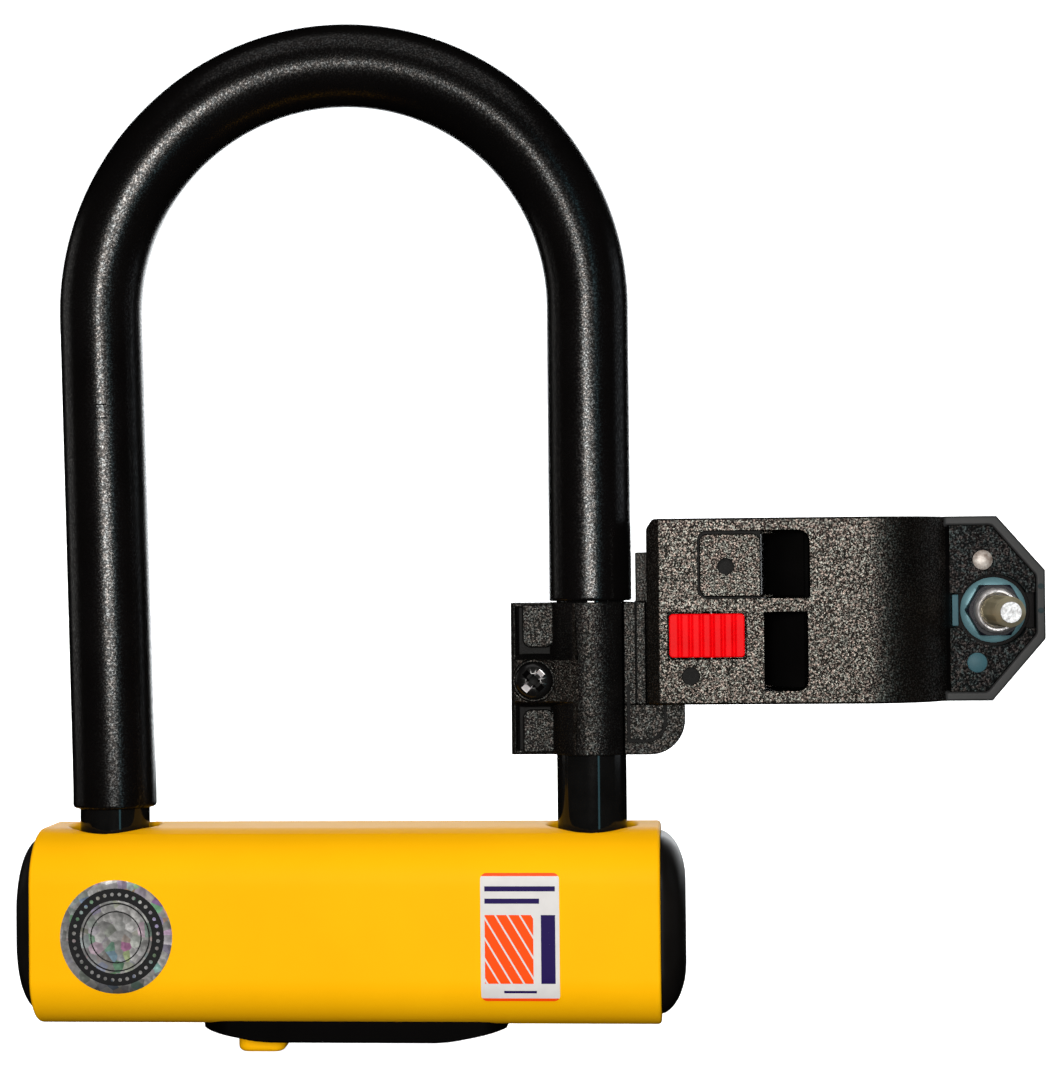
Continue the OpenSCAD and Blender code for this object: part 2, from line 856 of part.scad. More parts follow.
module liner_rear() {
    liner(1);
}

module bracket_screw() {
    tip = tray_floor - stud_length;
    head = flange_back + washer_wall;
    color("silver") from_crossbar() {
        rod_y(screw_at, stud_r, tip + stud_tip, head + 1);
        translate([screw_at[0], tip, screw_at[1]]) rotate([-90, 0, 0])
            cylinder(r1 = stud_tip_r, r2 = stud_r, h = stud_tip);
        rod_y_hex(screw_at, hex_flats, head, head + hex_height);
    }
}

module screw_washer() {
    color("silver") from_crossbar() difference() {
        rod_y(screw_at, nut_flange[0] - 0.5, flange_back, flange_back + washer_wall);
        rod_y(screw_at, stud_hole_r, -far, far);
    }
}

module flange_nut() {
    color("silver") from_crossbar() difference() {
        union() {
            rod_y(screw_at, nut_flange[0], tray_floor - nut_flange[1], tray_floor);
            rod_y_hex(screw_at, hex_flats, tray_floor - nut_top, tray_floor - 1);
            rod_y(screw_at, nut_collar[0], tray_floor - nut_collar[1], tray_floor - nut_top + 1);
        }
        rod_y(screw_at, stud_r + seat, -far, far);
    }
}

// ---- Release rocker ----

module release_rocker() {
    rib_pitch = rocker_size[0] / rib_count;
    z0 = rocker_at[2];
    color("red") from_crossbar() difference() {
        union() {
            translate(rocker_at) cube(rocker_size);
            rod_z(pivot_at, pivot_boss_r, z0, z0 + rocker_size[2]);
            translate([rocker_at[0] + 0.2, rocker_at[1] + rocker_size[1] - eps,
                z0 + (rocker_size[2] - nib_size[2]) / 2]) cube(nib_size);
        }
        for (i = [1 : rib_count - 1])
            rod_z([rocker_at[0] + i * rib_pitch, rocker_at[1] - 0.2], rib_groove_r, 0, far);
        rod_z(pivot_at, pivot_r + eps, 0, far);
    }
}

module rocker_pin() {
    color("silver") from_crossbar()
        rod_z(pivot_at, pivot_r, rocker_at[2] - pivot_overhang, rocker_at[2] + rocker_size[2] + pivot_overhang);
}

module rocker_spring() {
    start = rocker_at[1] + rocker_size[1] + rocker_spring_wire;
    length = face_y + rocker_well - rocker_spring_wire - start;
    color("lightgray") from_crossbar() translate([rocker_spring_at[0], start, rocker_spring_at[1]])
        rotate([-90, 0, 0]) coil(rocker_spring_r, rocker_spring_wire, length, rocker_spring_turns);
}

crossbar_shell();
crossbar_tube();
end_cap_left();
end_cap_right();
foot_bush_left();
foot_bush_right();
keyhole_cover();
cover_screws();
cylinder_housing();
housing_pin();
spring_seats();
round_sticker();
label_sticker();
cylinder_plug();
bolt_cam();
deadbolt_left();
deadbolt_right();
bolt_spring_left();
bolt_spring_right();
dust_shutter();
shutter_knob();
shackle_bar();
shackle_sleeve();
clamp_front();
clamp_rear();
clamp_screw();
clamp_nut();
bracket_body();
bracket_jaw();
liner_front();
liner_rear();
bracket_screw();
flange_nut();
screw_washer();
release_rocker();
rocker_pin();
rocker_spring();
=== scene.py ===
import math

import bmesh
import bpy
from mathutils import Matrix, Vector


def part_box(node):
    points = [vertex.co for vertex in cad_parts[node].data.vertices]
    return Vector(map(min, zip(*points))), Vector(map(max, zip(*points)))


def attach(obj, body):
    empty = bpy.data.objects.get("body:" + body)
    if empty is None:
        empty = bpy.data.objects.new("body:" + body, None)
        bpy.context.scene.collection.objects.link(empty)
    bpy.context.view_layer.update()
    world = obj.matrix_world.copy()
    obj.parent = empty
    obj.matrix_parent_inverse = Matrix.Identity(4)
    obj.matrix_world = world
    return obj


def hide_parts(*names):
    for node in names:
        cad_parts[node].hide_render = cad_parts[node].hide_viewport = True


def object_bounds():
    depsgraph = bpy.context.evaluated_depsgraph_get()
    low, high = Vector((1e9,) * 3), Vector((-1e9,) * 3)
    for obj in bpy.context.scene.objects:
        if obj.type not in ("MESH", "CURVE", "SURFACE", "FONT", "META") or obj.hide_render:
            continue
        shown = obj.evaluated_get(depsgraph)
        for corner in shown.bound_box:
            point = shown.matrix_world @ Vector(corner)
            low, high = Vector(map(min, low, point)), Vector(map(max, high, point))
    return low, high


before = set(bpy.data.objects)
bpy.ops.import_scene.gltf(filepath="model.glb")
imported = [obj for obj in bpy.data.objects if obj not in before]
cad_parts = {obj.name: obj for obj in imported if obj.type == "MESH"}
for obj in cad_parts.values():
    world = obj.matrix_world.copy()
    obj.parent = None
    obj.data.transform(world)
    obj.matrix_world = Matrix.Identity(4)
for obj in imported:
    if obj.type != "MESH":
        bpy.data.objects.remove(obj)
cad_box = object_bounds()

# Lengths below are in millimetres about the crossbar's centre, as in the CAD source: X across the legs,
# Z up the legs and -Y to the front. place() turns them into the row frame, in metres.
MM = 0.001
SHELL_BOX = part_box("crossbar_shell")
CENTRE = (SHELL_BOX[0] + SHELL_BOX[1]) / 2


def place(p):
    return CENTRE + Vector(p) * MM


def mm_box(node):
    """A CAD node's lowest and highest corners in millimetres about the crossbar's centre."""
    lo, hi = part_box(node)
    return (lo - CENTRE) / MM, (hi - CENTRE) / MM


# ---- Camera ----

RIGHT = Vector((0.99773469, 0.06657435, -0.00966176))
AHEAD = Vector((-0.066451, 0.99771049, 0.01257182))
UP = Vector((0.0104766, -0.0119013, 0.99987429))
CAMERA_AT = (67.76, -464.3, 70.96)
SENSOR = 36
IMAGE_HEIGHT = 1080
FOCAL_PX = 2300

camera = bpy.data.objects.new("camera", bpy.data.cameras.new("camera"))
bpy.context.scene.collection.objects.link(camera)
camera.matrix_world = Matrix.Translation(place(CAMERA_AT)) @ Matrix(
    (RIGHT, UP, -AHEAD)).transposed().to_4x4()
camera.data.sensor_width = SENSOR
camera.data.lens = FOCAL_PX * SENSOR / IMAGE_HEIGHT
camera.data.clip_start = 0.01
camera.data.clip_end = 50
bpy.context.scene.camera = camera

scene = bpy.context.scene
scene.view_settings.view_transform = "Standard"
scene.view_settings.look = "None"


# ---- Node materials ----


class Sock:
    """A node socket that can be used in sums."""

    def __init__(self, mat, out):
        self.mat, self.out = mat, out

    def math(self, op, *others):
        node = self.mat.node_tree.nodes.new("ShaderNodeMath")
        node.operation = op
        for i, value in enumerate((self, *others)):
            plug(self.mat, value, node.inputs[i])
        return Sock(self.mat, node.outputs[0])

    def __add__(self, other):
        return self.math("ADD", other)

    def __sub__(self, other):
        return self.math("SUBTRACT", other)

    def __mul__(self, other):
        return self.math("MULTIPLY", other)

    def __truediv__(self, other):
        return self.math("DIVIDE", other)

    def __lt__(self, other):
        return self.math("LESS_THAN", other)

    def __gt__(self, other):
        return self.math("GREATER_THAN", other)

    def power(self, other):
        return self.math("POWER", other)

    def clamp(self, lo=0.0, hi=1.0):
        return self.math("MAXIMUM", lo).math("MINIMUM", hi)

    def ramp(self, lo, hi):
        """0 below lo, 1 above hi, and straight between."""
        return ((self - lo) * (1 / (hi - lo))).clamp()


def plug(mat, value, socket):
    if isinstance(value, Sock):
        mat.node_tree.links.new(value.out, socket)
    else:
        socket.default_value = value


def colour4(c):
    return (*c, 1.0)


def blend_colour(mat, share, a, b):
    node = mat.node_tree.nodes.new("ShaderNodeMix")
    node.data_type = "RGBA"
    plug(mat, share, node.inputs[0])
    for value, socket in ((a, node.inputs[6]), (b, node.inputs[7])):
        plug(mat, value if isinstance(value, Sock) else colour4(value), socket)
    return Sock(mat, node.outputs[2])


def noise(mat, size_mm, detail=2.0, rough=0.5, stretch=(1, 1, 1), kind="Object"):
    """Noise whose features are about size_mm across, from 0 to 1."""
    tree = mat.node_tree
    coords = tree.nodes.new("ShaderNodeTexCoord")
    mapping = tree.nodes.new("ShaderNodeMapping")
    mapping.inputs["Scale"].default_value = [s / (size_mm * MM) for s in stretch]
    tree.links.new(coords.outputs[kind], mapping.inputs["Vector"])
    node = tree.nodes.new("ShaderNodeTexNoise")
    node.inputs["Scale"].default_value = 1.0
    node.inputs["Detail"].default_value = detail
    node.inputs["Roughness"].default_value = rough
    tree.links.new(mapping.outputs["Vector"], node.inputs["Vector"])
    return Sock(mat, node.outputs["Fac"])


def new_material(name):
    mat = bpy.data.materials.new(name)
    mat.use_nodes = True
    return mat, mat.node_tree.nodes["Principled BSDF"]


def add_bump(mat, shader, height, strength, distance_mm):
    node = mat.node_tree.nodes.new("ShaderNodeBump")
    node.inputs["Strength"].default_value = strength
    node.inputs["Distance"].default_value = distance_mm * MM
    plug(mat, height, node.inputs["Height"])
    mat.node_tree.links.new(node.outputs["Normal"], shader.inputs["Normal"])


def surface(name, dark, light, rough, grain=0.35, bump=0.3, depth=0.05, mottle=12, metallic=0.0,
            stretch=(1, 1, 1), glint=None, **sockets):
    """A finish: two colours mottled together, roughness that varies, and a fine grain in the normal.
    glint is a shine that changes from grain to grain: its least and most, and its two tints."""
    mat, shader = new_material(name)
    broad = noise(mat, mottle, 3.0)
    fine = noise(mat, grain, 3.0, 0.6, stretch)
    colour = blend_colour(mat, broad.ramp(0.3, 0.7), dark, light)
    plug(mat, colour, shader.inputs["Base Color"])
    plug(mat, broad * (rough[1] - rough[0]) * 0.6 + fine * (rough[1] - rough[0]) * 0.8 + rough[0],
         shader.inputs["Roughness"])
    shader.inputs["Metallic"].default_value = metallic
    if glint:
        spark = noise(mat, grain * 0.85, 1.0, 0.5, stretch)
        low, high, warm, cool = glint
        shine = spark.ramp(0.38, 0.70).power(2) * (high - low) + low
        plug(mat, shine, shader.inputs["Specular IOR Level"])
        tint = blend_colour(mat, noise(mat, grain * 1.8, 1.0).ramp(0.4, 0.6), warm, cool)
        plug(mat, tint, shader.inputs["Specular Tint"])
    for socket, value in sockets.items():
        shader.inputs[socket.replace("_", " ")].default_value = value
    add_bump(mat, shader, fine, bump, depth)
    return mat


YELLOW = surface("yellow_plastic", (0.96, 0.455, 0.0015), (1.0, 0.485, 0.002), (0.42, 0.55), grain=0.25,
                 bump=0.12, depth=0.02, mottle=25, Specular_IOR_Level=0.03)
CAP = surface("cap_plastic", (0.004, 0.0034, 0.003), (0.007, 0.006, 0.0055), (0.35, 0.5), grain=0.3,
              bump=0.15, depth=0.03, Specular_IOR_Level=0.06)
# The keyhole cover's black plastic, several times darker than the caps': black is its own colour, the extra
# darkness painted shade on the underside.
COVER_PAINTED_SHADE = surface("cover_plastic_painted_shade", (0.0006, 0.0004, 0.0004), (0.0012, 0.001, 0.001), (0.45, 0.6), grain=0.3,
                bump=0.15, depth=0.03, Specular_IOR_Level=0.02)
SLEEVE = surface("sleeve_vinyl", (0.002, 0.0017, 0.0017), (0.003, 0.0026, 0.0026), (0.17, 0.27), grain=0.42,
                 bump=0.5, depth=0.03, mottle=18, glint=(0.07, 0.55, (1.0, 0.95, 0.92), (0.93, 0.98, 1.0)))
BAR = surface("black_enamel", (0.003, 0.003, 0.003), (0.005, 0.005, 0.005), (0.04, 0.10), grain=0.7,
              bump=0.05, depth=0.02, mottle=5, Specular_IOR_Level=0.35)
NYLON = surface("grained_nylon", (0.0025, 0.0022, 0.002), (0.005, 0.0042, 0.0036), (0.22, 0.36), grain=0.36,
                bump=1.0, depth=0.07, mottle=6, glint=(0.02, 1.15, (1.0, 0.80, 0.70), (0.96, 0.98, 0.88)))
SMOOTH_NYLON = surface("moulded_nylon", (0.0022, 0.002, 0.002), (0.004, 0.0036, 0.0035), (0.26, 0.40),
                       grain=0.38, bump=1.0, depth=0.07, mottle=6,
                       glint=(0.02, 0.48, (1.0, 0.88, 0.80), (0.94, 1.0, 0.96)))
TRAY_NYLON = surface("tray_nylon", (0.0014, 0.0015, 0.0016), (0.0028, 0.0028, 0.003), (0.28, 0.42),
                     grain=0.42, bump=1.0, depth=0.06, glint=(0.01, 0.25, (1.0, 0.85, 0.8), (0.8, 1.0, 1.0)))
# Nylon for the tray rim's front: its smooth, even look is its own, its paleness is painted light where the
# lamps' reflection falls weakly.
PAINTED_LIGHT_RIM_NYLON = surface("rim_nylon_painted_light", (0.024, 0.024, 0.0245), (0.032, 0.032, 0.0325), (0.4, 0.5), grain=0.42,
                    bump=0.4, depth=0.04, Specular_IOR_Level=0.15)
# Near-black finish laid in grooves, windows, dimples, slots and hollows: painted shade.
PAINTED_SHADE_NYLON = surface("painted_shade_nylon", (0.0016, 0.0015, 0.0015), (0.003, 0.0027, 0.0027), (0.35, 0.5),
                     grain=0.4, bump=0.5, depth=0.05, Specular_IOR_Level=0.05)
OXIDE = surface("black_oxide", (0.003, 0.003, 0.003), (0.006, 0.0055, 0.0055), (0.14, 0.30), grain=0.4,
                bump=0.1, depth=0.02, Specular_IOR_Level=0.35)
RED = surface("red_plastic", (0.70, 0.001, 0.003), (0.84, 0.002, 0.005), (0.28, 0.42), grain=0.3,
              bump=0.12, depth=0.02, mottle=4, Specular_IOR_Level=0.03)
STEEL = surface("hard_steel", (0.16, 0.16, 0.17), (0.24, 0.24, 0.25), (0.25, 0.45), grain=0.5, bump=0.25,
                depth=0.03, metallic=1.0, stretch=(0.15, 1, 1))
ZINC = surface("zinc_plate", (0.55, 0.56, 0.56), (0.70, 0.70, 0.68), (0.14, 0.34), grain=0.5, bump=0.25,
               depth=0.03, metallic=1.0)
SPRING = surface("spring_steel", (0.42, 0.42, 0.43), (0.58, 0.58, 0.58), (0.2, 0.35), grain=0.3, bump=0.2,
                 depth=0.02, metallic=1.0)
BRASS = surface("lock_brass", (0.62, 0.42, 0.16), (0.78, 0.56, 0.24), (0.2, 0.38), grain=0.4, bump=0.2,
                depth=0.02, metallic=1.0, stretch=(1, 1, 0.1))
RUBBER = surface("liner_rubber", (0.0012, 0.0012, 0.0012), (0.003, 0.003, 0.003), (0.7, 0.9), grain=0.5,
                 bump=0.5, depth=0.06, Specular_IOR_Level=0.05)

SLOT_FINISH = {"yellow_shell": YELLOW, "black_cap": CAP, "hard_steel": STEEL, "zinc_plate": ZINC,
               "spring_steel": SPRING, "lock_brass": BRASS, "black_bar": BAR, "sleeve_plastic": SLEEVE,
               "black_nylon": NYLON, "liner_rubber": RUBBER, "red_plastic": RED}


# ---- Mesh tools ----


def prism(outline, axis, a, b):
    """A closed solid: the outline in the two other axes, stretched along axis from a to b."""
    order = {"x": lambda u, v, w: (w, u, v), "y": lambda u, v, w: (u, w, v), "z": lambda u, v, w: (u, v, w)}
    at = order[axis]
    bm = bmesh.new()
    rows = [[bm.verts.new(at(u, v, w)) for u, v in outline] for w in (a, b)]
    for row in rows:
        bm.faces.new(row)
    for i in range(len(outline)):
        j = (i + 1) % len(outline)
        bm.faces.new((rows[0][i], rows[0][j], rows[1][j], rows[1][i]))
    bmesh.ops.recalc_face_normals(bm, faces=bm.faces)
    return bm


def block(x, y, z):
    """A box from its lowest and highest X, Y and Z."""
    return prism([(x[0], y[0]), (x[1], y[0]), (x[1], y[1]), (x[0], y[1])], "z", *z)


def ring(centre, r, n=64, turn=0.0):
    angles = [turn + math.tau * i / n for i in range(n)]
    return [(centre[0] + r * math.cos(a), centre[1] + r * math.sin(a)) for a in angles]


def rounded(points, radii, steps=6):
    """The outline with its corners rounded; radii is one number or one for each corner."""
    if not hasattr(radii, "__len__"):
        radii = [radii] * len(points)
    out = []
    for i, r in enumerate(radii):
        p = Vector(points[i])
        if r <= 0:
            out.append(tuple(p))
            continue
        a = (Vector(points[i - 1]) - p).normalized()
        b = (Vector(points[(i + 1) % len(points)]) - p).normalized()
        half = a.angle(b) / 2
        centre = p + (a + b).normalized() * (r / math.sin(half))
        s = p + a * (r / math.tan(half)) - centre
        e = p + b * (r / math.tan(half)) - centre
        start = math.atan2(s.y, s.x)
        sweep = (math.atan2(e.y, e.x) - start + math.pi) % math.tau - math.pi
        angles = [start + sweep * k / steps for k in range(steps + 1)]
        out += [(centre.x + r * math.cos(t), centre.y + r * math.sin(t)) for t in angles]
    return out


def rectangle(x0, z0, x1, z1):
    return [(x0, z0), (x1, z0), (x1, z1), (x0, z1)]


def hull(points):
    """The convex solid round the points."""
    bm = bmesh.new()
    for p in points:
        bm.verts.new(p)
    bmesh.ops.convex_hull(bm, input=bm.verts)
    bmesh.ops.dissolve_limit(bm, angle_limit=math.radians(0.5), verts=bm.verts, edges=bm.edges)
    bmesh.ops.recalc_face_normals(bm, faces=bm.faces)
    return bm


def lathe(profile, at, n=48, axis="y"):
    """A closed solid turned from (radius, height) points about an axis through at."""
    bm = bmesh.new()
    rows = []
    for r, h in profile:
        count = 1 if r == 0 else n
        row = []
        for i in range(count):
            u, v = r * math.cos(math.tau * i / n), r * math.sin(math.tau * i / n)
            p = (at[0] + u, h, at[1] + v) if axis == "y" else (at[0] + u, at[1] + v, h)
            row.append(bm.verts.new(p))
        rows.append(row)
    for a, b in zip(rows, rows[1:] + ([] if profile[0][0] == 0 else [rows[0]])):
        for i in range(n):
            j = (i + 1) % n
            corners = [a[i % len(a)], a[j % len(a)], b[j % len(b)], b[i % len(b)]]
            unique = list(dict.fromkeys(corners))
            if len(unique) > 2:
                bm.faces.new(unique)
    bmesh.ops.recalc_face_normals(bm, faces=bm.faces)
    return bm


def temp_object(bm):
    mesh = bpy.data.meshes.new("temp")
    bm.to_mesh(mesh)
    bm.free()
    obj = bpy.data.objects.new("temp", mesh)
    scene.collection.objects.link(obj)
    return obj


def combine(bm, others, operation):
    """bm with each of the others cut from it, added to it or kept in common."""
    base = temp_object(bm)
    tools = [temp_object(o) for o in others]
    for tool in tools:
        modifier = base.modifiers.new("cut", "BOOLEAN")
        modifier.operation = operation
        modifier.object = tool
        modifier.solver = "MANIFOLD"
    result = bpy.data.meshes.new_from_object(base.evaluated_get(bpy.context.evaluated_depsgraph_get()))
    out = bmesh.new()
    out.from_mesh(result)
    for obj in (base, *tools):
        bpy.data.objects.remove(obj)
    bmesh.ops.remove_doubles(out, verts=out.verts, dist=0.002)
    bmesh.ops.dissolve_limit(out, angle_limit=math.radians(0.3), verts=out.verts, edges=out.edges)
    return out


def cut(bm, *others):
    return combine(bm, others, "DIFFERENCE")


def add(bm, *others):
    return combine(bm, others, "UNION")


def common(bm, *others):
    return combine(bm, others, "INTERSECT")


def soften(bm, width, segments=2, where=None, angle=25):
    """Rounds the edges sharper than angle whose midpoint passes where."""
    edges = [e for e in bm.edges if len(e.link_faces) == 2 and e.calc_face_angle(0) > math.radians(angle)
             and (where is None or where((e.verts[0].co + e.verts[1].co) / 2))]
    bmesh.ops.bevel(bm, geom=edges, offset=width, offset_type="OFFSET", segments=segments, profile=0.5,
                    affect="EDGES", clamp_overlap=False, miter_outer="ARC" if segments > 2 else "SHARP")
    return bm


def piece(name, bm, body, slot, replaces=(), finish=None, smooth=32, weighted=True):
    """Makes the mesh a piece of the object, riding on its body."""
    mesh = bpy.data.meshes.new(name)
    for v in bm.verts:
        v.co = place(v.co)
    bm.to_mesh(mesh)
    bm.free()
    obj = bpy.data.objects.new(name, mesh)
    scene.collection.objects.link(obj)
    for mat in finish if isinstance(finish, (list, tuple)) else [finish or SLOT_FINISH[slot]]:
        mesh.materials.append(mat)
    mesh.shade_smooth()
    mesh.set_sharp_from_angle(angle=math.radians(smooth))
    if weighted:
        modifier = obj.modifiers.new("normals", "WEIGHTED_NORMAL")
        modifier.keep_sharp = True
    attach(obj, body)
    if replaces:
        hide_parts(*replaces)
    return obj


# ---- Sizes shared by the pieces, as the CAD has them ----

LEG_X = 48.8
LEG_HOLE_R = 9.0
TUBE_ROOM_R = 14.04
CYLINDER_X = 1.2
CYLINDER_ROOM_R = 9.04
SHELL_LO, SHELL_HI = mm_box("crossbar_shell")
SHELL_CORNER = 10.5
BRACKET_LO, BRACKET_HI = mm_box("bracket_body")
TUBE_AXIS = (103.3, 8.0)
BAND_BORE = 17.5
BAND_R = 20.0
FACE_Y = TUBE_AXIS[1] - BAND_R
NUT_AT = (129.3, 61.9)
NUT_FLATS = 10.0


def tube_rod(r, z0=0, z1=120, n=160):
    """A rod along the axis of the frame tube that the bracket grips."""
    return prism(ring(TUBE_AXIS, r, n), "z", z0, z1)


def from_tube(p):
    """How far a point lies from the frame tube's axis."""
    return math.hypot(p.x - TUBE_AXIS[0], p.y - TUBE_AXIS[1])


def nut_hexagon(y0, y1):
    return prism(ring(NUT_AT, NUT_FLATS / math.sqrt(3), 6), "y", y0, y1)


def section_outline(grow=0.0, steps=14):
    """The shell's section in Y and Z."""
    y, z = SHELL_HI.y + grow, SHELL_HI.z + grow
    return rounded([(-y, -z), (y, -z), (y, z), (-y, z)], SHELL_CORNER + grow, steps)


# ---- Crossbar ----


def build_shell():
    bm = prism(section_outline(), "x", SHELL_LO.x, SHELL_HI.x)
    bm = cut(bm, prism(ring((0, 0), TUBE_ROOM_R, 96), "x", -80, 80))
    soften(bm, 0.7, 3, lambda p: abs(p.x) > SHELL_HI.x - 0.1)
    holes = [prism(ring((side * LEG_X, 0), LEG_HOLE_R, 72), "z", 5, 40) for side in (-1, 1)]
    holes.append(prism(ring((CYLINDER_X, 0), CYLINDER_ROOM_R, 72), "z", -40, -5))
    bm = cut(bm, *holes)
    soften(bm, 0.8, 3, lambda p: p.z > 16 and abs(math.hypot(abs(p.x) - LEG_X, p.y) - LEG_HOLE_R) < 0.15)
    piece("shell_body", bm, "crossbar", "yellow_shell", ["crossbar_shell"], smooth=40)


def build_caps():
    # How far out each section stands, and how far inside the shell's outline it lies.
    stations = [(-2.0, 2.2), (0.0, 1.85), (0.7, 2.0), (1.4, 2.4), (2.1, 2.95), (2.7, 3.6), (3.3, 4.4),
                (3.8, 5.35), (4.25, 6.5), (4.6, 7.8), (4.82, 9.3), (4.93, 11.0)]
    for side, name in ((-1, "left"), (1, "right")):
        bm = bmesh.new()
        rows = []
        for x, inset in stations:
            y, z = SHELL_HI.y - inset, SHELL_HI.z - inset
            corner = min(SHELL_CORNER - 0.9, y - 0.02)
            outline = rounded([(-y, -z), (y, -z), (y, z), (-y, z)], corner, 12)
            rows.append([bm.verts.new((side * (SHELL_HI.x + x), u, v)) for u, v in outline])
        for a, b in zip(rows, rows[1:]):
            for i in range(len(a)):
                j = (i + 1) % len(a)
                bm.faces.new((a[i], a[j], b[j], b[i]))
        bm.faces.new(rows[0])
        bm.faces.new(rows[-1])
        bmesh.ops.recalc_face_normals(bm, faces=bm.faces)
        piece(f"cap_{name}", bm, "crossbar", "black_cap", [f"end_cap_{name}"], smooth=50)


def build_cover():
    lo, hi = mm_box("keyhole_cover")
    mid, half = (lo.x + hi.x) / 2, (hi.x - lo.x) / 2
    top, base = -SHELL_HI.z, lo.z
    # Distance from the middle, and the share of the drop reached there.
    fall = ((half, 0.0), (half - 0.3, 0.12), (30.4, 0.25), (27.1, 0.46), (24.1, 0.65), (20.8, 0.84),
            (18.6, 0.95), (16.5, 1.0))
    slope = [(x, top + (base - top) * t) for x, t in fall]
    outline = [(mid - x, z) for x, z in slope] + [(mid + x, z) for x, z in reversed(slope)]
    outline += [(mid + half, top + 3), (mid - half, top + 3)]
    bm = prism(outline, "y", lo.y, hi.y)
    w = (hi.y - lo.y) / 2
    bm = common(bm, prism(rounded(rectangle(mid - half, -w, mid + half, w), 6, 8), "z", -40, 0))
    bm = cut(bm, prism(section_outline(0.04), "x", -80, 80))
    soften(bm, 0.5, 3, lambda p: p.z < base + 0.3)
    shutter_room = block((-21.8, 7.9), (-6.8, 6.8), (base + 1.2, -10))
    knob_slot = block((-21.2, -1.9), (-2.5, 2.5), (-60, -10))
    keyhole = prism(ring((mid, 0), 6.0, 48), "z", -60, -10)
    tools = [shutter_room, knob_slot, keyhole]
    for side in (-1, 1):
        tools.append(prism(ring((mid + 18, side * 6), 2.6, 32), "z", -60, base + 1.4))
        tools.append(prism(ring((mid + 18, side * 6), 1.25, 32), "z", -60, -10))
    bm = cut(bm, *tools)
    # The cover takes the darker black: painted shade on the underside.
    piece("cover_plate", bm, "crossbar", "black_cap", ["keyhole_cover"], COVER_PAINTED_SHADE)


def build_knob():
    lo, hi = mm_box("shutter_knob")
    size = rounded(rectangle(lo.x, lo.y, hi.x, hi.y), 2.4, 8)
    bm = prism(size, "z", lo.z, lo.z + 2.9)
    soften(bm, 1.15, 5, lambda p: p.z < lo.z + 0.1)
    mid = (lo.x + hi.x) / 2
    soften(bm, 0.35, 3, lambda p: p.z > lo.z + 2.8)
    bm = add(bm, block((mid - 2.5, mid + 2.5), (-2.2, 2.2), (lo.z + 0.6, hi.z)))
    piece("shutter_grip", bm, "shutter", "yellow_shell", ["shutter_knob"])


# ---- Stickers: thin skins over the shell's front ----


def skin(name, centre, outline_rows, node, slot, finish, thick=0.15):
    """A grid over the shell's front. outline_rows gives, for each height, the left and right ends."""
    bm = bmesh.new()
    uv = bm.loops.layers.uv.new("UVMap")
    columns = 40

    def front(z, out):
        flat = SHELL_HI.z - SHELL_CORNER
        over = abs(z) - flat
        r = SHELL_CORNER + out
        if over <= 0:
            return -SHELL_HI.y - out
        return -(SHELL_HI.y - SHELL_CORNER) - math.sqrt(max(r * r - over * over, 0))

    layers = []
    for out in (thick, 0.02):
        rows = []
        for z, x0, x1 in outline_rows:
            rows.append([bm.verts.new((centre[0] + x0 + (x1 - x0) * k / columns, front(centre[1] + z, out),
                                       centre[1] + z)) for k in range(columns + 1)])
        layers.append(rows)
    for rows in layers:
        for a, b in zip(rows, rows[1:]):
            for k in range(columns):
                bm.faces.new((a[k], a[k + 1], b[k + 1], b[k]))
    outer, inner = layers
    loop = [(0, k) for k in range(columns + 1)] + [(j, columns) for j in range(1, len(outer))]
    loop += [(len(outer) - 1, k) for k in range(columns - 1, -1, -1)]
    loop += [(j, 0) for j in range(len(outer) - 2, 0, -1)]
    for (a, b), (c, d) in zip(loop, loop[1:] + loop[:1]):
        bm.faces.new((outer[a][b], outer[c][d], inner[c][d], inner[a][b]))
    bmesh.ops.recalc_face_normals(bm, faces=bm.faces)
    for face in bm.faces:
        for corner in face.loops:
            corner[uv].uv = ((corner.vert.co.x - centre[0]) / 10, (corner.vert.co.z - centre[1]) / 10)
    piece(name, bm, "crossbar", slot, [node], finish, smooth=40, weighted=False)


def uv_axes(mat):
    tree = mat.node_tree
    coords = tree.nodes.new("ShaderNodeTexCoord")
    split = tree.nodes.new("ShaderNodeSeparateXYZ")
    tree.links.new(coords.outputs["UV"], split.inputs[0])
    return Sock(mat, split.outputs[0]) * 10, Sock(mat, split.outputs[1]) * 10


def between(value, lo, hi):
    """1 where the value lies between lo and hi, else 0."""
    return (value > lo) * (value < hi)


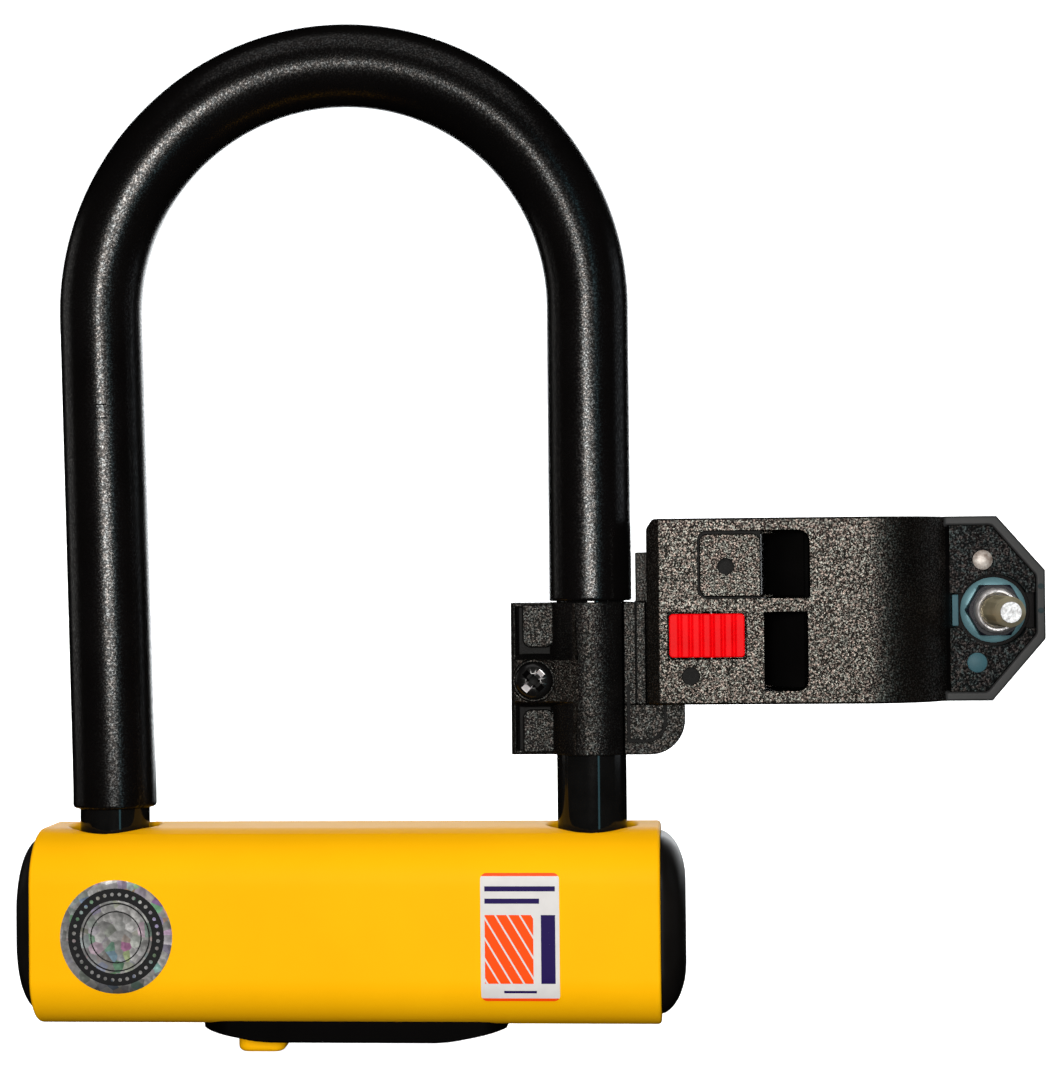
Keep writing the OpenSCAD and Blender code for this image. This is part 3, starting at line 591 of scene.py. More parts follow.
def build_foil():
    """A plain silver foil disc with rainbow facets, a dark ring with pale dots and two thin rings."""
    mat, shader = new_material("prism_foil")
    tree = mat.node_tree
    x, z = uv_axes(mat)
    r = (x * x + z * z).math("SQRT")
    angle = z.math("ARCTAN2", x)
    coords = tree.nodes.new("ShaderNodeTexCoord")
    cells = tree.nodes.new("ShaderNodeTexVoronoi")
    cells.inputs["Scale"].default_value = 5.5
    tree.links.new(coords.outputs["UV"], cells.inputs["Vector"])
    hue = tree.nodes.new("ShaderNodeSeparateColor")
    tree.links.new(cells.outputs["Color"], hue.inputs[0])
    tint = tree.nodes.new("ShaderNodeCombineColor")
    tint.mode = "HSV"
    plug(mat, Sock(mat, hue.outputs[0]), tint.inputs[0])
    plug(mat, Sock(mat, hue.outputs[1]).power(4) * 0.55, tint.inputs[1])
    plug(mat, Sock(mat, hue.outputs[2]) * 0.28 + 0.26, tint.inputs[2])
    sector = (angle * (36 / math.tau)).math("FRACT") - 0.5
    dot = ((sector * 1.47).power(2) + (r - 8.45).power(2)).math("SQRT") < 0.36
    dark = (between(r, 7.2, 9.6) * (dot * -1.0 + 1.0)).math("MAXIMUM", between(r, 4.9, 5.15)).math(
        "MAXIMUM", between(r, 6.5, 6.8))
    colour = blend_colour(mat, dark, Sock(mat, tint.outputs[0]), (0.012, 0.012, 0.013))
    plug(mat, colour, shader.inputs["Base Color"])
    plug(mat, dark * -0.9 + 0.9, shader.inputs["Metallic"])
    shader.inputs["Specular IOR Level"].default_value = 0.08
    plug(mat, dark * 0.2 + noise(mat, 0.8) * 0.2 + 0.22, shader.inputs["Roughness"])
    add_bump(mat, shader, Sock(mat, cells.outputs["Distance"]), 0.25, 0.2)
    disc_r, n = 11.2, 48
    rows = []
    for k in range(n + 1):
        z = -math.cos(math.pi * k / n)
        half = max(math.sqrt(max(1 - z * z, 0.0)) * disc_r, 0.25)
        rows.append((z * disc_r, -half, half))
    skin("foil_disc", (-44.8, -0.9), rows, "round_sticker", "foil_sticker", mat)


def build_label():
    """A plain paper label: orange edge bands, an orange panel with slanted pale stripes, a violet bar."""
    mat, shader = new_material("printed_paper")
    x, z = uv_axes(mat)
    edge = (z.math("ABSOLUTE") > 11.95)
    panel = between(x, -6.9, 2.6) * between(z, -9.0, 4.4)
    stripe = ((x + z * 0.6) * (1 / 2.4)).math("FRACT") < 0.16
    bar = between(x, 4.1, 6.9) * between(z, -9.0, 4.4)
    line = (between(z, 9.0, 10.0) * between(x, -6.9, 6.9)).math(
        "MAXIMUM", between(z, 6.6, 7.6) * between(x, -6.9, 3.8))
    small = between(z, -10.9, -10.4) * between(x, -3.2, 3.2)
    wear = noise(mat, 0.35, 2.0).ramp(0.18, 0.26)
    orange, violet = (0.92, 0.075, 0.004), (0.014, 0.005, 0.075)
    paper = blend_colour(mat, noise(mat, 3.0), (0.62, 0.60, 0.60), (0.72, 0.70, 0.69))
    colour = blend_colour(mat, edge.math("MAXIMUM", panel * (stripe * -1.0 + 1.0)) * wear, paper, orange)
    colour = blend_colour(mat, bar.math("MAXIMUM", line).math("MAXIMUM", small) * wear, colour, violet)
    plug(mat, colour, shader.inputs["Base Color"])
    plug(mat, noise(mat, 1.0) * 0.2 + 0.3, shader.inputs["Roughness"])
    shader.inputs["Specular IOR Level"].default_value = 0.06
    add_bump(mat, shader, noise(mat, 0.5), 0.1, 0.03)
    w, h, c = 7.7, 12.55, 1.2
    corner = [c * (1 - math.cos(math.pi / 2 * k / 6)) for k in range(6)]
    heights = [-h + rise for rise in corner]
    heights += [-h + c + (2 * h - 2 * c) * k / 40 for k in range(41)]
    heights += [h - rise for rise in reversed(corner)]
    rows = []
    for z in heights:
        over = max(abs(z) - (h - c), 0.0)
        half = w - c + math.sqrt(max(c * c - over * over, 0.0))
        rows.append((z, -half, half))
    skin("paper_label", (35.1, -0.9), rows, "label_sticker", "paper_sticker", mat)


# ---- Shackle sleeve ----

LEAN = math.radians(1.25)
LEAN_BASE = 26.0
KINK_R = 150.0
BEND_Z = 124.0
BEND_SPAN = 2 * LEG_X + KINK_R * (1 - math.cos(LEAN) - math.sin(LEAN) * math.tan(LEAN))
BEND_R = ((BEND_SPAN + math.tan(LEAN) * (BEND_Z - LEAN_BASE))
          / (1 + math.cos(LEAN) + math.sin(LEAN) * math.tan(LEAN)))
BEND_X = LEG_X - BEND_R


def shackle_path(left_base, right_base):
    """Points on the shackle's line with the direction across it, from the right leg's end to the left's."""
    path = []
    ends = (0.0, 0.12, 0.3, 0.5, 0.8)
    straight = [right_base + 1.5 + (BEND_Z - right_base - 1.5) * k / 16 for k in range(16)]
    for z in [right_base + e for e in ends] + straight:
        path.append(((LEG_X, z), (1.0, 0.0)))
    for k in range(97):
        a = (math.pi + LEAN) * k / 96
        path.append(((BEND_X + BEND_R * math.cos(a), BEND_Z + BEND_R * math.sin(a)),
                     (math.cos(a), math.sin(a))))
    x0, z0 = path[-1][0]
    x1, z1 = -LEG_X - KINK_R * (1 - math.cos(LEAN)), LEAN_BASE + KINK_R * math.sin(LEAN)
    across = (-math.cos(LEAN), -math.sin(LEAN))
    for k in range(1, 25):
        t = k / 25
        path.append(((x0 + (x1 - x0) * t, z0 + (z1 - z0) * t), across))
    for k in range(4, -1, -1):
        a = LEAN * k / 4
        path.append(((-LEG_X - KINK_R + KINK_R * math.cos(a), LEAN_BASE + KINK_R * math.sin(a)),
                     (-math.cos(a), -math.sin(a))))
    for e in reversed(ends):
        path.append(((-LEG_X, left_base + e), (-1.0, 0.0)))
    return path


def build_sleeve():
    lo, _ = mm_box("shackle_sleeve")
    path = shackle_path(lo.z, 64.45)
    outer, inner, n = 8.4, 7.05, 72
    last = len(path) - 1
    # How much the first rings at either end are drawn in, for a rounded rim.
    trim = {0: 0.42, 1: 0.2, 2: 0.07, 3: 0.01}
    bm = bmesh.new()

    def hoop(step, r):
        (x, z), (ax, az) = step
        return [bm.verts.new((x + ax * r * math.cos(t), r * math.sin(t), z + az * r * math.cos(t)))
                for t in (math.tau * k / n for k in range(n))]

    rows = [hoop(step, outer - trim.get(min(i, last - i), 0.0)) for i, step in enumerate(path)]
    bore = [hoop(step, inner) for i, step in enumerate(path) if not 0 < min(i, last - i) < 4]
    closed = rows + bore[::-1]
    for a, b in zip(closed, closed[1:] + closed[:1]):
        for i in range(n):
            j = (i + 1) % n
            bm.faces.new((a[i], a[j], b[j], b[i]))
    bmesh.ops.recalc_face_normals(bm, faces=bm.faces)
    piece("sleeve_tube", bm, "shackle", "sleeve_plastic", ["shackle_sleeve"], smooth=50)
    marks = [block((-50.9, -48.0), (-8.62, -8.0), (z - 0.11, z + 0.11)) for z in (102.2, 104.9)]
    marks.append(block((-50.2, -49.95), (-8.55, -8.0), (102.3, 104.8)))
    for k, bm in enumerate(marks):
        soften(bm, 0.06, 1)
        piece(f"sleeve_mark_{k}", bm, "shackle", "sleeve_plastic")


# ---- Clamp ----

CLAMP_LO, CLAMP_HI = mm_box("clamp_front")
SCREW_AT = (37.5, 48.6)
BARREL_R = 8.6
BORE_R = 7.04
FLANGE_LEFT = LEG_X - 15.9
CHEEK_X = LEG_X + 6.8


def clamp_barrel(y0, y1):
    """The barrel's part between two depths."""
    barrel = prism(ring((LEG_X, 0), BARREL_R, 96), "z", CLAMP_LO.z, CLAMP_HI.z)
    return common(barrel, block((0, 80), (y0, y1), (0, 90)))


def clamp_holes():
    """The bore for the bar and the hole for the clamp's screw."""
    return prism(ring((LEG_X, 0), BORE_R, 72), "z", 0, 90), prism(ring(SCREW_AT, 2.1, 32), "y", -20, 20)


def build_clamp_front():
    left, z0, z1 = FLANGE_LEFT, CLAMP_LO.z, CLAMP_HI.z
    mid = SCREW_AT[1]
    barrel = clamp_barrel(-20, -0.5)
    plate = block((left, LEG_X), (-3.3, -0.5), (z0, z1))
    lip = ((0, -1.5), (0, -3.7), (0.5, -4.35), (1.0, -4.35), (1.9, -2.8))
    rim = hull([(left + x, y, z) for z in (z0, z1) for x, y in lip])
    ridge = ((left + 0.9, -5.45, 4.15), (left + 0.9, -2.5, 5.4), (LEG_X - 2.2, -8.2, 4.15),
             (LEG_X - 2.2, -2.5, 5.4))
    rib = hull([(x, y, mid + side * half) for side in (-1, 1) for x, y, half in ridge])
    edge = [block((left + 0.5, LEG_X - 3), (-4.3, -1), (z, z + 0.85)) for z in (z0, z1 - 0.85)]
    pads = []
    for a, b, inner in ((55.3, z1 - 0.5, 0), (z0 + 0.5, 42.7, 1)):
        radii = (0.3, 0.3, 1.6, 1.6) if inner else (1.6, 1.6, 0.3, 0.3)
        pad = prism(rounded(rectangle(left + 2.5, a, left + 8.6, b), radii, 5), "y", -4.5, -2.0)
        pads.append(pad)
    bm = add(plate, barrel, rim, rib, *edge, *pads)
    bore, screw_hole = clamp_holes()
    bm = cut(bm, bore, prism(ring(SCREW_AT, 4.25, 48), "y", -20, -3.6), screw_hole,
             block((CHEEK_X - 0.3, 80), (-20, 20), (0, 90)))
    soften(bm, 0.22, 2, lambda p: p.y < -2.9 and math.hypot(p.x - LEG_X, p.y) > BORE_R + 0.5)
    # Plate faces round the pads get painted shade (index 1); the rib takes the grained nylon (index 2).
    for face in bm.faces:
        c = face.calc_center_median()
        if -3.45 < c.y < -2.6 and c.x < LEG_X - 4:
            face.material_index = 1
        elif abs(c.z - mid) < 4.4 and c.x < LEG_X - 2.5 and c.y < -5.2:
            face.material_index = 2
    piece("clamp_shell_front", bm, "shackle", "black_nylon", ["clamp_front"],
          [SMOOTH_NYLON, PAINTED_SHADE_NYLON, NYLON])


def build_clamp_rear():
    z0, z1 = CLAMP_LO.z, CLAMP_HI.z
    tongue_top = mm_box("clamp_rear")[1].z
    bm = add(block((FLANGE_LEFT, LEG_X), (0.5, 3.6), (z0, z1)), clamp_barrel(0.5, 20),
             block((LEG_X + 5, 58.6), (0.5, 3.0), (z0, z1)), block((57.95, 65), (-3, 3), (z0, tongue_top)),
             block((64, 67.5), (-6, 6), (z0, tongue_top)), block((CHEEK_X, 60.0), (-5.2, 1), (z0, z1)),
             block((CHEEK_X, 67.7), (-6, 6), (z0, z0 + 10)))
    corner = (60.7, z0 + 7)
    trim = [(corner[0], corner[1] - 8), (corner[0] + 8, corner[1] - 8), (corner[0] + 8, corner[1])]
    angles = [-math.pi / 2 * k / 12 for k in range(13)]
    trim += [(corner[0] + 7 * math.cos(a), corner[1] + 7 * math.sin(a)) for a in angles]
    bm = cut(bm, prism(trim, "y", -20, 20))
    soften(bm, 0.3, 2)
    groove = prism(rectangle(57.8, z0 + 10.1, 58.3, tongue_top - 0.5), "y", -7, -1.8)
    pad = rounded(rectangle(CHEEK_X + 0.5, z0 + 2.4, 64.1, z0 + 14), (0, 4.2, 0, 0), 8)
    inner = rounded(rectangle(CHEEK_X + 1.2, z0 + 3.1, 63.4, z0 + 16), (0, 3.5, 0, 0), 8)
    line = cut(prism(pad, "y", -7, -4.8), prism(inner, "y", -9, -4))
    bm = cut(bm, groove, line, *clamp_holes(), prism(ring(SCREW_AT, 7.3 / math.sqrt(3), 6), "y", 2.2, 20),
             block((63, 66.6), (-7, -4.9), (53.5, 100)))
    # The tongue's groove and the thin line round the ear pad get painted shade (index 1).
    for face in bm.faces:
        c = face.calc_center_median()
        in_line = c.x > CHEEK_X + 0.2 and c.z < z0 + 9.9 and -5.95 < c.y < -4.5
        if in_line or (57.75 < c.x < 58.35 and c.z > z0 + 10 and -5.15 < c.y < -1.7):
            face.material_index = 1
    piece("clamp_shell_rear", bm, "shackle", "black_nylon", ["clamp_rear"], [SMOOTH_NYLON, PAINTED_SHADE_NYLON])


def build_clamp_screw():
    front, seat = -6.2, -3.6
    profile = [(0, front), (1.6, front), (2.7, front + 0.12), (3.35, front + 0.5), (3.7, front + 1.0),
               (3.85, front + 1.6), (3.85, seat), (2.0, seat), (2.0, 6.0), (1.8, 6.2), (0, 6.2)]
    bm = lathe(profile, SCREW_AT, 64)
    arms = []
    for turn in (math.radians(45), math.radians(135)):
        u, v = Vector((math.cos(turn), math.sin(turn))), Vector((-math.sin(turn), math.cos(turn)))
        points = []
        for depth, reach, half in ((front - 0.5, 2.9, 0.85), (front + 1.5, 1.5, 0.5)):
            for a, b in ((1, 1), (1, -1), (-1, 1), (-1, -1)):
                p = u * (reach * a) + v * (half * b)
                points.append((SCREW_AT[0] + p.x, depth, SCREW_AT[1] + p.y))
        arms.append(hull(points))
    pit = [(0, front - 0.5), (1.5, front - 0.5), (0.9, front + 1.7), (0, front + 1.9)]
    bm = cut(bm, *arms, lathe(pit, SCREW_AT, 24))
    # Painted light in the cross recess: the two slot ends on one diagonal take pale steel as painted glints
    # (index 1), the rest painted shade (index 2).
    glint_axis = Vector((1, 1)).normalized()
    for face in bm.faces:
        c = face.calc_center_median()
        along = (c.x - SCREW_AT[0]) * glint_axis.x + (c.z - SCREW_AT[1]) * glint_axis.y
        off = (c.x - SCREW_AT[0]) * glint_axis.y - (c.z - SCREW_AT[1]) * glint_axis.x
        if math.hypot(along, off) < 2.8 and front + 0.05 < c.y < front + 2:
            face.material_index = 1 if 1.2 < abs(along) and abs(off) < 0.8 else 2
    bright = surface("painted_glint_steel", (0.60, 0.57, 0.58), (0.85, 0.82, 0.84), (0.3, 0.5), grain=0.3, bump=0.3,
                     depth=0.03, metallic=0.3)
    piece("clamp_bolt", bm, "shackle", "black_bar", ["clamp_screw"], [OXIDE, bright, PAINTED_SHADE_NYLON])


# ---- Bracket ----


def flange_outline(wall=0.0):
    z0, z1, x1 = BRACKET_LO.z + wall, BRACKET_HI.z - wall, BRACKET_HI.x - wall
    slant = wall * math.tan(math.radians(22.5))
    return [(118.0, z0), (x1 - 10.5 + slant, z0), (x1, z0 + 12.2 - slant), (x1, z1 - 10.8 + slant),
            (x1 - 9.4 + slant, z1), (118.0, z1)]


TRAY_Y = -2.2
PIVOT = (73, -9.8)
UPPER_DIMPLE = (75.9, 71.1)
LOWER_DIMPLE = (68.9, 49.6)
UPPER_WINDOW = (64.8, 78.1)
LOWER_WINDOW = (46.6, 62.1)


def near(c, at, r):
    """Whether a point lies within r of a place on the bracket's face."""
    return math.hypot(c.x - at[0], c.z - at[1]) < r


def pivot_rod(r, z0, z1, n):
    """A rod along the rocker's pivot."""
    return prism(ring(PIVOT, r, n), "z", z0, z1)


def build_bracket():
    z0, z1, left = BRACKET_LO.z, BRACKET_HI.z, BRACKET_LO.x
    split = TUBE_AXIS[1] - 1.5
    bm = prism([(left, FACE_Y + 2.3), (left + 2.3, FACE_Y), (TUBE_AXIS[0], FACE_Y), (TUBE_AXIS[0], split),
                (82.9, split), (82.9, 9.0), (left, 9.0)], "z", z0, z1)
    band = common(tube_rod(BAND_R, z0, z1), block((60, 160), (-30, split), (0, 120)))
    rim = prism(flange_outline(), "y", -4, split)
    well = cut(prism(flange_outline(1.8), "y", -30, TRAY_Y), tube_rod(BAND_R))
    bm = add(bm, band, cut(rim, well))
    top_corner = prism([(left - 1, z1 - 3.36), (left + 1.98, z1 + 1), (left - 1, z1 + 1)], "y", -30, 30)
    bm = cut(bm, tube_rod(BAND_BORE), top_corner)
    soften(bm, 0.45, 3, lambda p: p.y < 6 and from_tube(p) > BAND_BORE + 0.1
           and not (p.x > 117.5 and p.y > TRAY_Y - 0.4), angle=28)
    low, high = UPPER_WINDOW
    recess = rounded(rectangle(70.4, low, 92.3, high), (1.8, 0.25, 2.2, 1.8), 6)
    pocket = prism(recess, "y", -30, FACE_Y + 1.3)
    plateau = rounded(rectangle(70.75, 65.1, 82.8, 77.5), (1.6, 0.3, 1.6, 1.6), 6)
    pad = prism(plateau, "y", FACE_Y + 0.35, FACE_Y + 2)
    soften(pad, 0.35, 2, lambda p: p.y < FACE_Y + 0.5)
    bm = cut(bm, pocket)
    soften(bm, 0.12, 2, lambda p: p.y < FACE_Y + 0.05 and 70.2 < p.x < 92.5 and 64.6 < p.z < 78.3)
    bm = add(bm, pad)
    upper = rounded(rectangle(82.8, low, 92.3, high), (0.2, 0.2, 2.2, 0.2), 6)
    lower = rounded(rectangle(83.3, LOWER_WINDOW[0], 91.8, LOWER_WINDOW[1]), (0.2, 2.0, 0.2, 0.2), 6)
    windows = [prism(outline, "y", -30, 30) for outline in (upper, lower)]
    dimples = [lathe([(0, -30), (1.8, -30), (1.65, FACE_Y + 3.4), (0, FACE_Y + 3.4)], UPPER_DIMPLE, 32),
               lathe([(0, -30), (1.8, -30), (1.7, FACE_Y + 1.0), (0, FACE_Y + 1.0)], LOWER_DIMPLE, 32)]
    channel = [block((0, 64), (-3.3, 3.3), (0, 74.6)), block((63.7, 67.8), (-6.3, 6.3), (0, 74.6))]
    rocker = [block((64.4, 79.85), (-30, FACE_Y + 6), (52.9, 62.2)), pivot_rod(1.01, 50.6, 64.5, 24)]
    seat = cut(prism(ring(NUT_AT, 7.2, 64), "y", -3, 1.0), tube_rod(BAND_R - 0.02))
    key = cut(block((118, 137.3), (-3, 0.4), (58.4, 65.4)), tube_rod(BAND_R - 0.02))
    bm = cut(bm, *windows, *dimples, *channel, *rocker, seat, key, prism(ring(NUT_AT, 3.2, 32), "y", -20, 30))
    soften(bm, 0.12, 2, lambda p: p.y < FACE_Y + 0.5 and (
        (p.x < 80.3 and p.z < 64.6 and p.x > 64) or (83 < p.x < 92.2 and p.z < 62.6)))
    # Windows, dimple holes, the tray's inner walls, the nut seat and the key slot get painted shade (index
    # 2); the rim's front faces get painted light (index 4).
    for face in bm.faces:
        c = face.calc_center_median()
        in_window = 82.6 < c.x < 92.6 and 46.4 < c.z < 78.3 and FACE_Y + 0.5 < c.y
        in_hole = c.y > FACE_Y + 0.5 and (near(c, UPPER_DIMPLE, 1.9) or near(c, LOWER_DIMPLE, 1.9))
        if in_window or in_hole or (c.x > 118 and -3.6 < c.y < TRAY_Y - 0.3):
            face.material_index = 2
        elif c.y > -4.2 and from_tube(c) > BAND_R + 0.02:
            face.material_index = 4 if c.y < -3.5 else 2 if TRAY_Y + 0.05 < c.y < 1.2 else 3
    piece("bracket_front", bm, "bracket", "black_nylon", ["bracket_body"],
          [NYLON, SMOOTH_NYLON, PAINTED_SHADE_NYLON, TRAY_NYLON, PAINTED_LIGHT_RIM_NYLON])


def build_bracket_trim():
    """Rivet ends, mould marks and the steel key in the tray."""
    foot = [(2.0, TRAY_Y + 0.6), (0, TRAY_Y + 0.6)]
    dome = [(0, TRAY_Y - 0.65), (0.9, TRAY_Y - 0.58), (1.6, TRAY_Y - 0.38), (1.95, TRAY_Y - 0.05), *foot]
    flat = [(0, TRAY_Y - 0.32), (1.75, TRAY_Y - 0.32), (1.95, TRAY_Y - 0.2), *foot]
    # The teal of the lower rivet end and of the key is a painted reflection.
    teal_reflection = surface("painted_teal_reflection", (0.028, 0.075, 0.095), (0.042, 0.11, 0.135), (0.4, 0.55), grain=0.5, bump=0.3,
                   depth=0.03, stretch=(1, 1, 0.2), Specular_IOR_Level=0.15)
    # The upper rivet end's bright silver patches are a painted glint.
    glint_disc = surface("rivet_painted_glint", (0.16, 0.11, 0.085), (0.62, 0.57, 0.53), (0.4, 0.6), grain=0.6, bump=0.5,
                   depth=0.06, metallic=0.25, mottle=1.3)
    piece("rivet_upper", lathe(dome, (127.0, 71.9), 40), "bracket", "zinc_plate", finish=glint_disc)
    piece("rivet_lower", lathe(flat, (125.7, 51.5), 40), "bracket", "zinc_plate", finish=teal_reflection)
    key = cut(block((118.5, 122.2), (-1.5, 0.35), (58.8, 65.0)), tube_rod(BAND_R + 0.05, n=96))
    soften(key, 0.1, 1)
    piece("tray_key", key, "bracket", "zinc_plate", finish=teal_reflection)
    faint = surface("faint_mark", (0.010, 0.020, 0.023), (0.016, 0.030, 0.034), (0.4, 0.55), grain=0.4,
                    bump=0.3, depth=0.03, Specular_IOR_Level=0.1)
    for k, z in enumerate((66.6, 61.8)):
        spot = lathe([(0, -4.06), (0.5, -4.05), (0.62, -3.95), (0.62, -3.7), (0, -3.7)], (138.1, z), 24)
        piece(f"rim_mark_{k}", spot, "bracket", "black_nylon", finish=faint)


def build_jaw():
    z0, z1 = BRACKET_LO.z, BRACKET_HI.z
    split = TUBE_AXIS[1] + 1.5
    bm = common(tube_rod(BAND_R, z0, z1), block((60, 160), (split, 60), (0, 120)))
    bm = add(bm, prism(flange_outline(), "y", split, 15))
    bm = cut(bm, tube_rod(BAND_BORE))
    soften(bm, 0.5, 3, lambda p: from_tube(p) > BAND_BORE + 0.1, angle=28)
    arms = []
    for x0, (low, high) in ((82.9, UPPER_WINDOW), (83.3, LOWER_WINDOW)):
        arm = block((x0 - 1, 91.3), (FACE_Y + 2, split + 0.05), (low + 0.5, high - 0.5))
        arm = common(arm, tube_rod(BAND_R - 0.1))
        arms.append(cut(arm, tube_rod(BAND_BORE + 0.2)))
    bm = add(bm, *arms)
    bm = cut(bm, prism(ring(NUT_AT, 3.2, 32), "y", -20, 40))
    # Faces of the arms behind the windows get painted shade (index 1).
    for face in bm.faces:
        c = face.calc_center_median()
        if c.x < 92 and c.y < split:
            face.material_index = 1
    piece("bracket_rear", bm, "bracket", "black_nylon", ["bracket_jaw"], [NYLON, PAINTED_SHADE_NYLON])


def build_nut():
    """A flange nut with a locking collar."""
    seat, hole = 1.0, 3.04

    def turned(profile):
        """A part turned about the nut's axis, from radii and heights above the seat."""
        return lathe([(r, seat - h) for r, h in profile], NUT_AT, 72)

    flange = turned([(hole, 0), (6.5, 0), (6.5, 0.5), (6.1, 0.95), (5.3, 1.3), (hole, 1.3)])
    cone = turned([(0, 0), (6.6, 0), (6.6, 4.2), (5.2, 5.02), (0, 5.02)])
    hexagon = common(nut_hexagon(seat - 5.0, seat - 1.0), cone)
    hexagon = cut(hexagon, prism(ring(NUT_AT, hole, 48), "y", -20, 20))
    collar = turned([(hole, 4.6), (4.5, 4.6), (4.5, 6.9), (4.3, 7.5), (3.95, 7.78), (3.6, 7.7), (3.42, 7.3),
                     (3.3, 6.2), (hole, 6.0)])
    bm = add(flange, hexagon)
    # The flange's teal colour is a painted reflection on the zinc.
    teal_reflection = surface("flange_painted_teal_reflection", (0.09, 0.19, 0.22), (0.15, 0.29, 0.33), (0.3, 0.5), grain=0.5, bump=0.25,
                   depth=0.03, metallic=0.25, Specular_IOR_Level=0.3)
    dark = surface("dark_steel", (0.003, 0.003, 0.006), (0.008, 0.008, 0.014), (0.3, 0.45), grain=0.5,
                   bump=0.2, depth=0.02, Specular_IOR_Level=0.12)
    soften(bm, 0.12, 2, lambda p: p.y < seat - 1.4)
    for face in bm.faces:
        if face.calc_center_median().y < seat - 1.32:
            face.material_index = 1
    piece("nut_body", bm, "bracket", "zinc_plate", ["flange_nut"], [teal_reflection, dark], smooth=25)
    chrome = surface("bright_collar", (0.55, 0.53, 0.54), (0.95, 0.93, 0.94), (0.30, 0.48), grain=0.6,
                     bump=0.8, depth=0.10, metallic=0.85, mottle=1.2)
    piece("nut_collar", collar, "bracket", "zinc_plate", finish=chrome, smooth=50)


def build_stud():
    """The clamping screw: a threaded shank along Y with a chamfered tip, and a hexagon head behind."""
    lo, hi = mm_box("bracket_screw")
    r, pitch, depth, n = 3.0, 1.0, 0.45, 36
    tip_r, thread_end = 1.95, 12.5
    start, end = lo.y, hi.y - 4.0
    bm = bmesh.new()
    rows = []
    step = pitch / 8
    count = int((end - start) / step)
    for k in range(count + 1):
        y = start + step * k
        row = []
        for i in range(n):
            a = math.tau * i / n
            phase = ((y - start) / pitch - i / n) % 1.0
            cutback = depth * abs(2 * phase - 1)
            limit = tip_r + max(y - start - 0.15, 0.0) * 0.75
            radius = min(r - cutback if y < thread_end else r - 0.05, limit)
            row.append(bm.verts.new((NUT_AT[0] + radius * math.cos(a), y, NUT_AT[1] + radius * math.sin(a))))
        rows.append(row)
    for a, b in zip(rows, rows[1:]):
        for i in range(n):
            j = (i + 1) % n
            bm.faces.new((a[i], a[j], b[j], b[i]))
    bm.faces.new(rows[0])
    bm.faces.new(rows[-1])
    bmesh.ops.recalc_face_normals(bm, faces=bm.faces)
    olive = surface("olive_zinc", (0.30, 0.26, 0.16), (0.46, 0.41, 0.28), (0.34, 0.50), grain=0.5, bump=0.3,
                    depth=0.03, metallic=0.6)
    tip = surface("cut_tip", (0.25, 0.25, 0.26), (0.85, 0.86, 0.88), (0.45, 0.6), grain=0.45, bump=1.0,
                  depth=0.12, metallic=0.35, mottle=0.7)
    for face in bm.faces:
        if face.calc_center_median().y < start + 0.2:
            face.material_index = 1
    piece("stud_thread", bm, "bracket", "zinc_plate", ["bracket_screw"], [olive, tip], smooth=55,
          weighted=False)
    cone = [(0, end - 1), (6.6, end - 1), (6.6, hi.y - 0.8), (4.9, hi.y + 0.01), (0, hi.y + 0.01)]
    head = common(nut_hexagon(end - 0.01, hi.y), lathe(cone, NUT_AT, 72))
    soften(head, 0.12, 1)
    piece("stud_head", head, "bracket", "zinc_plate", smooth=25)


def build_rocker():
    x0, y0, z0 = 64.7, FACE_Y - 0.6, 53.25
    w, d, h = 14.8, 3.4, 8.6
    ribs, groove_half, groove_depth = 7, 0.55, 0.42
    pitch = w / ribs
    top = []
    for k in range(ribs * 16 + 1):
        x = w * k / (ribs * 16)
        phase = (x / pitch) % 1.0
        away = min(phase, 1 - phase) * pitch
        inside = 0.5 * pitch < x < w - 0.5 * pitch
        sink = 0.0
        if inside and away < groove_half:
            sink = groove_depth * (0.5 + 0.5 * math.cos(math.pi * away / groove_half))
        top.append((x0 + x, y0 + sink))
    outline = top + [(x0 + w, y0 + d), (x0, y0 + d)]
    bm = prism(outline, "z", z0, z0 + h)
    bm = common(bm, prism(rounded(rectangle(x0, z0, x0 + w, z0 + h), 0.75, 5), "y", -30, 0))
    edge = 0.8
    soften(bm, 0.3, 3, lambda p: p.y < y0 + 0.6 and not (
        z0 + edge <= p.z <= z0 + h - edge and x0 + edge <= p.x <= x0 + w - edge), angle=45)
    nib = block((64.9, 66.2), (y0 + d - 0.1, -5.25), (z0 + 2.45, z0 + 6.45))
    bm = add(bm, pivot_rod(2.4, z0 + 0.001, z0 + h - 0.001, 40), nib)
    bm = cut(bm, pivot_rod(1.05, 0, 90, 24))
    piece("rocker_button", bm, "rocker", "red_plastic", ["release_rocker"], smooth=50)


# ---- CAD nodes that stay, with their finishes ----

NODE_FINISH = {
    "crossbar_tube": STEEL, "foot_bush_left": RUBBER, "foot_bush_right": RUBBER, "cover_screws": ZINC,
    "cylinder_housing": BRASS, "housing_pin": STEEL, "spring_seats": STEEL, "cylinder_plug": BRASS,
    "bolt_cam": STEEL, "deadbolt_left": STEEL, "deadbolt_right": STEEL, "bolt_spring_left": SPRING,
    "bolt_spring_right": SPRING, "dust_shutter": CAP, "shackle_bar": BAR, "clamp_nut": ZINC,
    "liner_front": RUBBER, "liner_rear": RUBBER, "screw_washer": ZINC, "rocker_pin": OXIDE,
    "rocker_spring": SPRING,
}


def finish_nodes():
    """Gives the CAD nodes that stay their finishes."""
    for name, mat in NODE_FINISH.items():
        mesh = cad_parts[name].data
        mesh.materials.clear()
        mesh.materials.append(mat)


# ---- Studio ----


